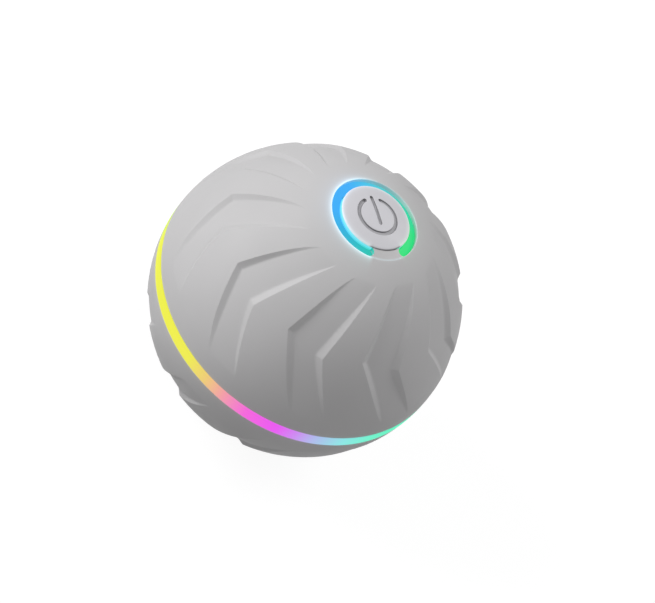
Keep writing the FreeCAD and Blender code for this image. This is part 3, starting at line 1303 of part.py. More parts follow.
def port_plug():
    """A soft plug that fills the recess flush with the ball. Its hollow stub slips over the contact
    tongue, and a notch in its rim takes a fingernail."""
    face = "fit_gap - port_floor"
    lid = revolved("plug_lid", [
        ("0", face), ("port_radius - plug_gap", face),
        ("port_radius - plug_gap", None), arc("ball_radius"), ("0", None),
    ], side=-1)
    stub = stadium("plug_stub", "port_width - 2 * port_wall - 2 * plug_gap",
                   "port_height - 2 * port_wall - 2 * plug_gap",
                   "port_floor - 1", "port_floor + port_throat - plug_end_gap")
    slot = block("plug_slot", "contact_width + 2 * plug_slot_gap", "contact_height + 2 * plug_slot_gap",
                 "port_floor + contact_setback - plug_end_gap", "port_floor + port_throat")
    notch = cylinder("plug_notch", "notch_radius", "-ball_radius - 1", "notch_depth - ball_radius",
                     "0", "port_radius")
    keep("port_plug", cut("plug_cut", fuse("plug_solid", lid, stub), slot, notch))


# Cables


def swept(name, edges, radius, angle):
    """A round cable along a path drawn in the plane of radius and height, turned to its side of the ball."""
    path = Part.Wire(edges)
    start, tangent = edges[0].valueAt(edges[0].FirstParameter), edges[0].tangentAt(edges[0].FirstParameter)
    ring = Part.Wire(Part.Circle(start, tangent, radius).toShape())
    solid = path.makePipeShell([ring], True, True)
    expected = math.pi * radius**2 * path.Length
    print(f"{name}: length {path.Length:.1f} mm, volume off by {100 * (solid.Volume / expected - 1):.2f} %")
    solid.rotate(V(), Z_AXIS, angle)
    return shape_node(name, solid)


def spot(radius, height):
    return V(radius, 0, height)


def bend_to_track(height):
    """The centre of the bend between a level run at a height and the circle that the cable follows
    along the wall, with the bend's two ends. The bend lies towards the equator."""
    track, bend = value("cable_track"), value("cable_bend")
    side = 1 if height > 0 else -1
    low = height - side * bend
    centre = V(math.sqrt((track - bend) ** 2 - low**2), 0, low)
    on_track = V(centre).multiply(track / (track - bend))
    return centre, spot(centre.x, height), on_track


def bend_arc(centre, start, end, radius):
    towards = (start - centre) + (end - centre)
    return Part.Arc(start, centre + towards.normalize() * radius, end).toShape()


def cables():
    """The charge cable and the light cable follow the shell's wall. The button cable turns up once."""
    bend = value("cable_bend")
    track = value("cable_track")
    high = value("main_board_top + socket_height / 2")
    low = value("charge_top + socket_height / 2")
    centre, top_run, top_track = bend_to_track(high)
    start = spot(value("wall_socket_place + socket_length / 2"), high)
    low_centre, low_run, low_track = bend_to_track(low)
    equator = spot(track, 0)
    charge = [
        Part.LineSegment(start, top_run).toShape(),
        bend_arc(centre, top_run, top_track, bend),
        Part.Arc(top_track, equator, low_track).toShape(),
        bend_arc(low_centre, low_track, low_run, bend),
        Part.LineSegment(low_run, spot(value("charge_socket_place + socket_length / 2"), low)).toShape(),
    ]
    radius = value("cable_radius")
    print(f"wall cable radii: {bend:.1f}, {track:.1f}, {bend:.1f} mm")
    keep("charge_cable", swept("charge_cable", charge, radius, CHARGE_SIDE))
    end_angle = math.asin(value("strip_height / 4") / track)
    end = spot(track * math.cos(end_angle), track * math.sin(end_angle))
    light = charge[:2] + [bend_arc(V(), top_track, end, track)]
    keep("light_cable", swept("light_cable", light, radius, LIGHT_SIDE))
    turn = value("button_cable_bend")
    reach = value("button_socket_place - socket_length / 2")
    corner = spot(reach - turn - value("button_cable_run"), high)
    up = [
        Part.LineSegment(spot(reach, high), corner + V(turn, 0, 0)).toShape(),
        bend_arc(corner + V(turn, 0, turn), corner + V(turn, 0, 0), corner + V(0, 0, turn), turn),
        Part.LineSegment(corner + V(0, 0, turn), spot(corner.x, value("button_board_low"))).toShape(),
    ]
    print(f"button cable radius: {turn:.1f} mm")
    keep("button_cable", swept("button_cable", up, radius, BUTTON_SIDE))
    leads = []
    for i, y in enumerate(("terminal_place", "-terminal_place")):
        leads.append(cylinder(f"lead_{i}", "wire_radius", "motor_top + terminal_height", "main_board_low",
                              "-motor_place", y))
    keep("motor_leads", group("leads", leads))


def check_and_write():
    """Stops at anything that failed, and writes one file for each piece."""
    doc.recompute()
    broken = [o.Name for o in doc.Objects if {"Invalid", "Error"} & set(o.State)]
    if broken:
        raise RuntimeError(f"failed objects: {broken}")
    for name, thing in nodes.items():
        if thing.Shape.isNull() or not thing.Shape.isValid() or not thing.Shape.Solids:
            raise RuntimeError(f"{name} has no valid solid")
    os.makedirs("parts", exist_ok=True)
    for name, thing in nodes.items():
        thing.Shape.exportStep(os.path.join("parts", name + ".step"))
        print(f"{name}: {len(thing.Shape.Solids)} solids, {thing.Shape.Volume:.1f} mm3")


for build in (tread_covers, upper_shell, lower_shell, equator_light,
              power_button, button_parts, button_board,
              chassis, gear_case, battery, motor, gears, pendulum,
              main_board, charging_port, port_plug, cables):
    build()
check_and_write()
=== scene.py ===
"""Looks of a self-rolling dog ball, built round its packed construction model.

The two rubber covers, the button cap, the equator light ring and the port plug are surfaces worked out
with numpy. Every other piece keeps its construction mesh and gets its finish here. Lengths are in metres.
Longitude 0 faces -Y and +90 faces +X, and colatitude is measured from the button at +Z."""

import math

import bmesh
import bpy
import numpy as np
from bpy.props import FloatProperty, FloatVectorProperty, IntProperty, PointerProperty
from mathutils import Matrix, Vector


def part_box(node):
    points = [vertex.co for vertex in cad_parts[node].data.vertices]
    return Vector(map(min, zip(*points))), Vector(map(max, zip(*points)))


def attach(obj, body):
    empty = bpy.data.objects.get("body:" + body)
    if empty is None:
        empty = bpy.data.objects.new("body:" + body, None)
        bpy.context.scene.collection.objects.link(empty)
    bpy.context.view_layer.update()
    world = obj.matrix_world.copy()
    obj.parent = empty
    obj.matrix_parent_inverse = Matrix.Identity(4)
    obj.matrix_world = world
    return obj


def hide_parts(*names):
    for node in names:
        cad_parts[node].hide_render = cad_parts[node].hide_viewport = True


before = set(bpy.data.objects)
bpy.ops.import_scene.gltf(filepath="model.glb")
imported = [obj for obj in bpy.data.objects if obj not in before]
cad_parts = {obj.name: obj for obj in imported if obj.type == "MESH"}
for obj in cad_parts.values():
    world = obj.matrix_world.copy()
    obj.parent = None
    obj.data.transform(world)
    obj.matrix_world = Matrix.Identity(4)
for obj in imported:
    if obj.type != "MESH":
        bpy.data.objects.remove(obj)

bl_info = {
    "name": "Dog Ball Looks",
    "version": (1, 0, 0),
    "blender": (4, 5, 0),
    "location": "View3D > Sidebar > Dog Ball",
    "description": "Covers, lights, button, plug and finishes of a self-rolling dog ball",
    "category": "Object",
}

MM = 0.001
BALL = round(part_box("equator_light_ring")[1].x, 4)
RING_HALF = round(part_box("upper_tread_cover")[0].z, 5)
BEZEL = round(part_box("button_bezel")[1].x, 5)
PLUG = round(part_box("port_plug")[1].x, 5)
CAP = round(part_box("power_button")[1].x, 5)
# The gap between the cap and the ring that it stands in.
CAP_GAP = 0.15 * MM
BLACK, WHITE = (0, 0, 0, 1), (1, 1, 1, 1)

# The four edge lines of a chevron groove on the cover that carries the button, from left to right: land
# edge, foot of the left wall, foot of the right wall, land edge. Each line has an arm towards the button
# and an arm towards the equator, which meet in a sharp bend. An arm is a curve from its first point to
# its last that is pulled towards the middle one, as colatitude and longitude in degrees.
CHEVRON = (
    (((25.3, 19.0), (27.8, 12.3), (52.3, 2.8)), ((52.3, 2.8), (72.9, 17.0), (78.5, 22.0))),
    (((25.3, 19.8), (27.8, 14.7), (52.3, 6.1)), ((52.3, 6.1), (54.8, 9.0), (78.5, 22.8))),
    (((26.5, 35.4), (40.6, 22.2), (55.0, 18.0)), ((55.0, 18.0), (57.5, 18.8), (79.5, 34.9))),
    (((26.5, 36.4), (52.5, 22.1), (55.0, 21.8)), ((55.0, 21.8), (61.5, 24.9), (79.5, 35.8))),
)
# Colatitudes where a groove's depth fades to nothing.
GROOVE_ENDS = 25.3, 79.0
# Colatitudes that have a row of points of their own, because the edge lines start, bend or end there, and the
# number of rows in each stretch from the opening over these to the equator.
GROOVE_ROWS = 25.3, 52.3, 55.0, 79.5
ROW_COUNTS = 14, 70, 8, 64, 16
# The least distance between neighbouring edge lines, in degrees of longitude.
LEAST_WALL = 0.8
# Half the length, half the width and the rounding of the port plug's stub, and of the slot in it.
PLUG_STUB = 4.07 * MM, 1.23 * MM, 1.2 * MM
PLUG_SLOT = 3.495 * MM, 0.5 * MM, 0.08 * MM
# Middle of the gap of the C-shaped light, as a share of the turn.
LIGHT_GAP = (49.25 + 180) / 360
# Middle of the side where its glow on the cover is wide, as a share of the turn.
HALO_MIDDLE = (-40.0 + 180) / 360

# Colours of the equator ring by longitude. They go through the rainbow from yellow to green.
RING_COLOURS = (
    (-180, (96, 150, 250)), (-150, (88, 220, 240)), (-120, (92, 240, 190)), (-95, (132, 238, 116)),
    (-65, (240, 244, 58)), (-40, (242, 243, 66)), (-17, (245, 242, 80)), (-8, (246, 211, 120)),
    (0, (250, 163, 170)), (10, (252, 104, 226)), (22, (241, 88, 250)), (29, (211, 137, 247)), (36, (180, 188, 243)),
    (48, (138, 234, 233)), (60, (96, 246, 202)), (68, (78, 242, 190)), (95, (74, 236, 196)),
    (130, (72, 190, 240)), (180, (96, 150, 250)),
)
# Colours of the C-shaped ring round the button by longitude. Its gap is between 29 and 69 degrees.
POWER_COLOURS = (
    (-180, (84, 206, 198)), (-158, (86, 208, 216)), (-135, (78, 198, 240)), (-110, (71, 180, 254)),
    (-55, (68, 178, 252)), (-28, (60, 180, 228)), (3, (52, 190, 200)), (30, (50, 200, 178)), (49, (52, 214, 150)),
    (69, (52, 230, 126)), (120, (50, 225, 132)), (150, (60, 218, 168)), (180, (84, 206, 198)),
)

# Right, up and towards the camera as the picture is taken, as columns. The button is at the top right.
VIEW = Matrix(((0.7539, -0.6570, 0.0), (0.4941, 0.5670, -0.6591), (0.4330, 0.4969, 0.7521)))
# How far the camera's picture is moved off the ball's middle, in pixels over its width.
PICTURE_SHIFT = 22.6 / 655, -1.9 / 655
# Each lamp's direction as shares of right, up and towards the camera, and its width. All stand at one distance.
LAMPS = {"key": (-0.55, 0.69, 0.47, 0.55), "side": (0.86, 0.50, 0.09, 0.45), "fill": (0.32, -0.20, 0.92, 0.30)}
LAMP_DISTANCE = 0.8
# The floor's shadow fades to plain white between the first two radii, and the floor ends at the third.
FLOOR_RADII = 0.15, 0.4, 3.0


def linear(colour):
    """A screen colour of 0 to 255 as the scene's linear colour, by the sRGB curve."""
    c = np.asarray(colour, float) / 255
    return tuple(np.where(c <= 0.04045, c / 12.92, ((c + 0.055) / 1.055) ** 2.4)) + (1.0,)


# Settings


def metres(name, description, default):
    return FloatProperty(name=name, description=description, default=default, unit="LENGTH", precision=5)


def degrees(name, description, default):
    return FloatProperty(name=name, description=description, default=math.radians(default), subtype="ANGLE")


def watts(name, description, default):
    return FloatProperty(name=name, description=description, default=default, unit="POWER")


def strength(name, description, default):
    return FloatProperty(name=name, description=description, default=default, min=0)


def paint(name, description, default):
    return FloatVectorProperty(name=name, description=description, default=default, subtype="COLOR", size=4,
                               min=0, max=1)


class BallSizes(bpy.types.PropertyGroup):
    """Sizes of the covers and of the ring between them."""

    radius: metres("Radius", "Outside radius of the ball", BALL)
    cover_inside: metres("Cover inside", "Inside radius of the covers", 37.05 * MM)
    ring_half: metres("Ring half width", "Half the light ring's width", RING_HALF)
    bezel_opening: metres("Bezel opening", "Radius of the upper cover's opening", BEZEL + 0.05 * MM)
    port_opening: metres("Port opening", "Radius of the lower cover's opening", PLUG + 0.1 * MM)
    groove_count: IntProperty(name="Grooves", description="Chevron grooves in each cover", default=10, min=1)
    groove_depth: metres("Groove depth", "Depth of a groove halfway along", 1.0 * MM)
    rim: metres("Rim rounding", "Rounding of the covers' rims", 0.15 * MM)


class ButtonSizes(bpy.types.PropertyGroup):
    """Sizes of the button cap, its symbol and the port plug."""

    radius: metres("Cap radius", "Radius of the button cap", CAP)
    skirt: metres("Skirt", "Height of the cap's side", 2.6 * MM)
    wall: metres("Wall", "Wall of the cap", 1.2 * MM)
    stem: metres("Stem radius", "Radius of the cap's stem", 2.0 * MM)
    rim: metres("Rim rounding", "Rounding of the cap's rim", 0.3 * MM)
    symbol_radius: metres("Symbol radius", "Radius of the symbol's arc", 4.88 * MM)
    stroke: metres("Stroke", "Line width of the power symbol", 1.0 * MM)
    symbol_depth: metres("Symbol depth", "Depth of the power symbol", 0.4 * MM)
    bar_out: metres("Bar out", "Reach of the bar outwards from the middle", 5.7 * MM)
    bar_in: metres("Bar in", "Reach of the bar past the middle", 2.6 * MM)
    symbol_gap: degrees("Symbol gap", "Angle left open in the symbol's arc", 52)
    symbol_side: degrees("Symbol side", "Longitude that the symbol's bar points to", -130)
    notch: metres("Notch radius", "Radius of the plug's fingernail notch", 1.8 * MM)
    notch_depth: metres("Notch depth", "Depth of that notch", 1.5 * MM)


class BallColours(bpy.types.PropertyGroup):
    """Colours of the outside, and how bright its lights are."""

    cover: paint("Covers", "Colour of the covers and the bezel", linear((196, 195, 196)))
    button: paint("Button", "Colour of the button cap", linear((207, 206, 211)))
    plug: paint("Plug", "Colour of the port plug", linear((186, 186, 189)))
    ring_light: strength("Ring light", "Brightness of the equator ring", 0.92)
    power_light: strength("Power light", "Brightness of the C-shaped light", 0.95)
    halo: strength("Halo", "Brightness of the wide glow beside that light", 0.6)


class StageSettings(bpy.types.PropertyGroup):
    """Floor, lamps and camera."""

    lens: FloatProperty(name="Lens", description="Focal length", default=84.5, subtype="DISTANCE_CAMERA")
    distance: metres("Distance", "Camera to the middle of the ball", 0.392)
    key: watts("Key lamp", "Power of the large lamp at the upper left", 5.5)
    side: watts("Side lamp", "Power of the lamp at the right", 2.5)
    fill: watts("Fill lamp", "Power of the small lamp beside the camera", 1.4)
    sky: strength("Sky", "Strength of the even light all round", 0.15)
    floor: paint("Floor", "Colour that the floor has for the light on the ball", (0.15, 0.15, 0.15, 1))
    floor_light: strength("Floor light", "Light that the floor gives to the ball", 0.12)


def settings(name):
    return getattr(bpy.context.scene, "dog_ball_" + name)


# Surfaces


def quads(rows, columns, closed_rows=False):
    """Corner numbers of the faces between neighbouring points of a grid, row by row. Its columns close."""
    r = np.arange(rows if closed_rows else rows - 1)[:, None]
    c = np.arange(columns)[None, :]
    next_r, next_c = (r + 1) % rows, (c + 1) % columns
    corners = r * columns + c, r * columns + next_c, next_r * columns + next_c, next_r * columns + c
    return np.stack(corners, axis=-1).reshape(-1, 4)


def build_piece(name, surfaces, body, sharp=50.0, replaces=()):
    """One object from closed surfaces, each an array of points on a grid and whether its rows close.
    Points in the same place are merged, which closes seams and poles, and the faces are turned outwards."""
    points, faces, used = [], [], 0
    for grid, closed_rows in surfaces:
        rows, columns = grid.shape[:2]
        points.append(grid.reshape(-1, 3))
        faces.append(quads(rows, columns, closed_rows) + used)
        used += rows * columns
    points, faces = np.concatenate(points), np.concatenate(faces)
    mesh = bpy.data.meshes.new(name)
    mesh.vertices.add(len(points))
    mesh.vertices.foreach_set("co", points.astype(np.float32).ravel())
    mesh.loops.add(faces.size)
    mesh.loops.foreach_set("vertex_index", faces.ravel())
    mesh.polygons.add(len(faces))
    mesh.polygons.foreach_set("loop_start", np.arange(0, faces.size, 4))
    mesh.update(calc_edges=True)
    work = bmesh.new()
    work.from_mesh(mesh)
    bmesh.ops.remove_doubles(work, verts=work.verts, dist=1e-7)
    bmesh.ops.recalc_face_normals(work, faces=work.faces)
    work.to_mesh(mesh)
    work.free()
    mesh.polygons.foreach_set("use_smooth", np.ones(len(mesh.polygons), bool))
    mesh.set_sharp_from_angle(angle=math.radians(sharp))
    piece = bpy.data.objects.new(name, mesh)
    bpy.context.scene.collection.objects.link(piece)
    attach(piece, body)
    if replaces:
        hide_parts(*replaces)
    return piece


def outline(*pieces):
    """A profile in radius and height from runs of points, as two long arrays."""
    points = np.concatenate([np.asarray(p, float).reshape(-1, 2) for p in pieces])
    return points[:, 0], points[:, 1]


def corner(before, at, after, steps=6):
    """A rounded corner: the quadratic curve from one point to another that is pulled towards a third."""
    t = np.linspace(0, 1, steps)[:, None]
    return (1 - t) ** 2 * np.asarray(before) + 2 * t * (1 - t) * np.asarray(at) + t**2 * np.asarray(after)


def arc(radius, out):
    """Points of a circle about the middle of the ball, at these distances from the ball's axis."""
    return np.stack([out, np.sqrt(radius**2 - out**2)], axis=1)


def turned(radii, heights, columns):
    """A profile turned about Z: x and y are the radius times the sine and the negative cosine of the turn."""
    turn = np.linspace(0, 2 * np.pi, columns, endpoint=False)[None, :]
    radii, heights = np.asarray(radii)[:, None], np.asarray(heights)[:, None]
    return np.stack([radii * np.sin(turn), -radii * np.cos(turn), heights + 0 * turn], axis=-1)


def smooth_step(x):
    """0 below 0, 1 above 1 and the cubic with level ends in between."""
    x = np.clip(x, 0, 1)
    return x * x * (3 - 2 * x)


def on_ball(colatitude, longitude):
    """A point at unit distance from the middle of the ball, from angles in degrees."""
    down, turn = math.radians(colatitude), math.radians(longitude)
    return np.array([math.sin(down) * math.sin(turn), -math.sin(down) * math.cos(turn), math.cos(down)])


def arm_line(colatitudes, arm):
    """Longitudes of an arm: the pulled quadratic curve between its ends, laid on the ball."""
    x, y, z = corner(*(on_ball(*point) for point in arm), 300).T
    return np.interp(colatitudes, np.degrees(np.arctan2(np.hypot(x, y), z)), np.degrees(np.arctan2(x, -y)))


def chevron_lines(colatitudes):
    """Longitudes of the four edge lines at each colatitude, kept a little apart."""
    lines = []
    for upper, lower in CHEVRON:
        line = np.where(colatitudes < upper[-1][0], arm_line(colatitudes, upper), arm_line(colatitudes, lower))
        lines.append(np.maximum(line, lines[-1] + LEAST_WALL) if lines else line)
    return lines


def tread_columns(colatitudes, count):
    """Longitude of every column at each colatitude, and the share of the groove's depth at every column.
    The columns run with the edge lines, so that the walls are crisp. A wall goes down in a straight line
    for six tenths of its width and three quarters of its height, and then levels off in a parabola."""
    left, left_foot, right_foot, right = chevron_lines(colatitudes)
    pitch = 360.0 / count
    # Shares of the widths of the land between two grooves, a wall and a groove's floor that have a column.
    land = np.array([0, 0.012, 0.04, 0.12, 0.3, 0.5, 0.7, 0.88, 0.96, 0.988])
    wall = np.array([0, 0.06, 0.16, 0.3, 0.45, 0.6, 0.75, 0.88])
    floor = np.array([0, 0.04, 0.11, 0.2, 0.32, 0.44, 0.56, 0.68, 0.8, 0.89, 0.96, 1.0])
    fall = np.where(wall < 0.6, 1.25 * wall, 1 - 1.5625 * (1 - wall) ** 2)
    rise_at = 1 - wall[::-1]
    rise = fall[::-1]

    def between(a, b, share):
        return a[:, None] + (b - a)[:, None] * share[None, :]

    one = np.concatenate([between(right - pitch, left, land), between(left, left_foot, wall),
                          between(left_foot, right_foot, floor), between(right_foot, right, rise_at[:-1])], axis=1)
    share = np.concatenate([0 * land, fall, 1 + 0 * floor, rise[:-1]])
    turns = pitch * np.arange(count)
    return (one[:, None, :] + turns[None, :, None]).reshape(len(colatitudes), -1), np.tile(share, count)


def cover_grid(sizes, opening, side):
    """A cover as rows round the ball. Its section is a closed loop: the outside arc, the rim at the light
    ring, the inside arc and the rim at the opening. A point of the outside lies at the ball's radius less
    the groove's depth there, which is greatest halfway between the groove's ends and fades to nothing."""
    ball, inside, half, rim = sizes.radius, sizes.cover_inside, sizes.ring_half, sizes.rim
    first, last = math.asin(opening / ball), math.acos(half / ball)
    stops = [math.degrees(first + rim / ball), *GROOVE_ROWS, math.degrees(last - rim / ball)]
    rows = np.concatenate([np.linspace(a, b, n, endpoint=False) for a, b, n in zip(stops, stops[1:], ROW_COUNTS)]
                          + [stops[-1:]])
    middle, reach = sum(GROOVE_ENDS) / 2, (GROOVE_ENDS[1] - GROOVE_ENDS[0]) / 2
    angle = np.radians(rows)
    outer = np.stack([np.sin(angle), np.cos(angle)], axis=1)
    foot, top = (ball * math.sin(last), half), (opening, ball * math.cos(first))
    ring_side = corner(ball * outer[-1], foot, (foot[0] - rim, half))[1:]
    along = np.linspace(math.asin(opening / inside), math.asin(math.sqrt(inside**2 - half**2) / inside), 30)[::-1]
    inner = np.stack([inside * np.sin(along), inside * np.cos(along)], axis=1)
    open_side = corner((opening, top[1] - rim), top, ball * outer[0])[:-1]
    radii, heights = outline(ball * outer, ring_side, inner, open_side)
    places = np.concatenate([rows, np.full(len(ring_side), stops[-1]), np.degrees(np.arctan2(*inner.T)),
                             np.full(len(open_side), stops[0])])
    turn, share = tread_columns(places, sizes.groove_count)
    drop = np.zeros((len(places), 1))
    drop[:len(rows), 0] = sizes.groove_depth * np.clip(1 - ((rows - middle) / reach) ** 2, 0, 1) ** 1.2
    shrink = 1 - drop * share[None, :] / ball
    turn = np.radians(turn)
    radii, heights = radii[:, None] * shrink, side * heights[:, None] * shrink
    return np.stack([radii * np.sin(turn), -radii * np.cos(turn), heights], axis=-1)


def symbol_depth(x, y, button):
    """How deep the power symbol is at each point. The distance to its centre line is the smaller of the
    distances to an arc and to a bar. Within the line's width the depth is full but for its steep walls."""
    wall, side = 0.14 * MM, button.symbol_side
    up = np.array([math.sin(side), -math.cos(side)])
    along, across = x * up[0] + y * up[1], x * up[1] - y * up[0]
    half = button.stroke / 2
    from_bar = np.hypot(along - np.clip(along, half - button.bar_in, button.bar_out - half), across)
    open_half = button.symbol_gap / 2
    turn = np.abs(np.arctan2(across, along))
    end = button.symbol_radius * np.array([math.cos(open_half), math.sin(open_half)])
    from_end = np.hypot(along - end[0], np.abs(across) - end[1])
    from_arc = np.where(turn > open_half, np.abs(np.hypot(x, y) - button.symbol_radius), from_end)
    return button.symbol_depth * smooth_step((half - np.minimum(from_bar, from_arc)) / wall)


def cap_grid(ball, button):
    """The button cap: a dome with a rounded rim, a skirt and a stem, as one profile turned about Z. The
    symbol lowers the dome's points, whose rows are close together as far out as it reaches."""
    radius, rim, wall, stem = button.radius, button.rim, button.wall, button.stem
    bevel, reach = 0.2 * MM, 6.1 * MM
    edge = math.sqrt(ball**2 - radius**2)
    under, low = edge - wall, edge - button.skirt
    stem_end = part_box("power_button")[0].z
    top = arc(ball, np.concatenate([np.linspace(0, reach, 78), np.linspace(reach, radius - rim, 12)[1:]]))
    radii, heights = outline(
        top, corner(top[-1], (radius, edge), (radius, edge - rim))[1:],
        [(radius, low + rim), (radius, low + bevel / 4), (radius - bevel / 2, low), (radius - wall, low),
         (radius - wall, under - bevel), (radius - wall - bevel, under), (stem + bevel, under), (stem, under - bevel),
         (stem, stem_end + bevel), (stem - bevel, stem_end), (0, stem_end)])
    grid = turned(radii, heights, 600)
    face = grid[:len(top)]
    face[..., 2] -= symbol_depth(face[..., 0], face[..., 1], button)
    return grid


def ring_grid(sizes):
    """The equator ring as one closed profile turned about Z: its visible band on the ball's surface, and on
    each side a step and a taller flange with a slot for a shell's tongue."""
    ball, half = sizes.radius, sizes.ring_half
    rounding, bevel, glue = 0.12 * MM, 0.1 * MM, 0.05 * MM
    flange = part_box("equator_light_ring")[1].z
    seat = math.sqrt(sizes.cover_inside**2 - flange**2) - glue
    inside = 34.6 * MM
    slot_in, slot_out, slot_end = inside + 0.65 * MM, inside + 1.55 * MM, flange - 0.85 * MM
    lip = math.sqrt(ball**2 - half**2)
    band = arc(ball, np.linspace(-half + rounding, half - rounding, 15))[:, ::-1]

    def step(sign):
        return [(lip - rounding, sign * half), (seat + bevel, sign * half), (seat, sign * (half + bevel)),
                (seat, sign * flange), (slot_out, sign * flange), (slot_out, sign * slot_end),
                (slot_in, sign * slot_end), (slot_in, sign * flange), (inside, sign * flange)]

    lower, upper = step(-1), step(1)
    radii, heights = outline(lower[::-1], corner(lower[0], (lip, -half), band[0], 5)[1:-1], band,
                             corner(band[-1], (lip, half), upper[0], 5)[1:-1], upper)
    return turned(radii, heights, 360)


def rounded_loop(half_length, half_width, rounding, count):
    """A rectangle with round corners in plan, as points spaced by angle: a point of the corner's circle
    moved out by the straight part of each side."""
    turn = np.linspace(0, 2 * np.pi, count, endpoint=False) + np.pi / count
    c, s = np.cos(turn), np.sin(turn)
    return np.stack([rounding * c + (half_length - rounding) * np.sign(c),
                     rounding * s + (half_width - rounding) * np.sign(s)], axis=1)


def plug_grids(ball, button, face, stub_end):
    """The port plug: a domed lid with a fingernail notch at its rim, and a hollow stub above it. The lid's
    side rows run from the rim, which the notch lowers, to its flat face. The stub starts inside the lid."""
    radius, rim, bevel, inset, near_notch = PLUG, 0.3 * MM, 0.2 * MM, 0.1 * MM, 5.6 * MM
    edge = math.sqrt(ball**2 - radius**2)
    top = arc(ball, np.concatenate([np.linspace(0, near_notch, 12), np.linspace(near_notch, radius - rim, 26)[1:]]))
    side = np.stack([np.full(5, radius), np.linspace(edge - rim, -face, 6)[1:]], axis=1)
    radii, heights = outline(top, corner(top[-1], (radius, edge), (radius, edge - rim))[1:], side,
                             [(0.6 * radius, -face), (0, -face)])
    lid = turned(radii, heights, 360)
    heights, notch_y, notch_wall = heights[:, None], radius + inset, 0.35 * MM
    from_notch = np.hypot(lid[..., 0], lid[..., 1] - notch_y)
    drop = smooth_step((button.notch - from_notch) / notch_wall) * (button.notch_depth + heights - ball)
    lid[..., 2] = np.where(heights > ball - button.notch_depth, drop, 0) - lid[..., 2]
    outer, slot = rounded_loop(*PLUG_STUB, 96), rounded_loop(*PLUG_SLOT, 96)
    shrink = 1 - bevel / np.array(PLUG_STUB[:2])
    loops = ((0 * outer, face - inset), (outer, face - inset), (outer, face + inset), (outer, stub_end - bevel),
             (outer * shrink, stub_end), (slot, stub_end), (slot, face + bevel), (0 * slot, face + bevel))
    return lid, np.stack([np.column_stack([plan, np.full(len(plan), height)]) for plan, height in loops])


# Finishes


def joined(operation, reflected=False):
    """A method that adds the Math node of a value and another term, which comes first if it is reflected."""
    def method(self, other):
        return self.math(operation, other, self) if reflected else self.math(operation, self, other)

    return method


class Value:
    """A number, colour or direction that changes over a surface. Sums, products, powers and comparisons of
    numbers add the Math nodes that they need."""

    def __init__(self, finish, socket):
        self.finish, self.socket = finish, socket

    def math(self, operation, *terms):
        return self.finish.node("ShaderNodeMath", {"operation": operation}, dict(enumerate(terms)))

    __add__ = __radd__ = joined("ADD")
    __sub__, __rsub__ = joined("SUBTRACT"), joined("SUBTRACT", reflected=True)
    __mul__ = __rmul__ = joined("MULTIPLY")
    __truediv__, __rtruediv__ = joined("DIVIDE"), joined("DIVIDE", reflected=True)
    __pow__, __gt__, __lt__ = joined("POWER"), joined("GREATER_THAN"), joined("LESS_THAN")

    def __abs__(self):
        return self.math("ABSOLUTE", self)

    def fraction(self):
        return self.math("FRACT", self)


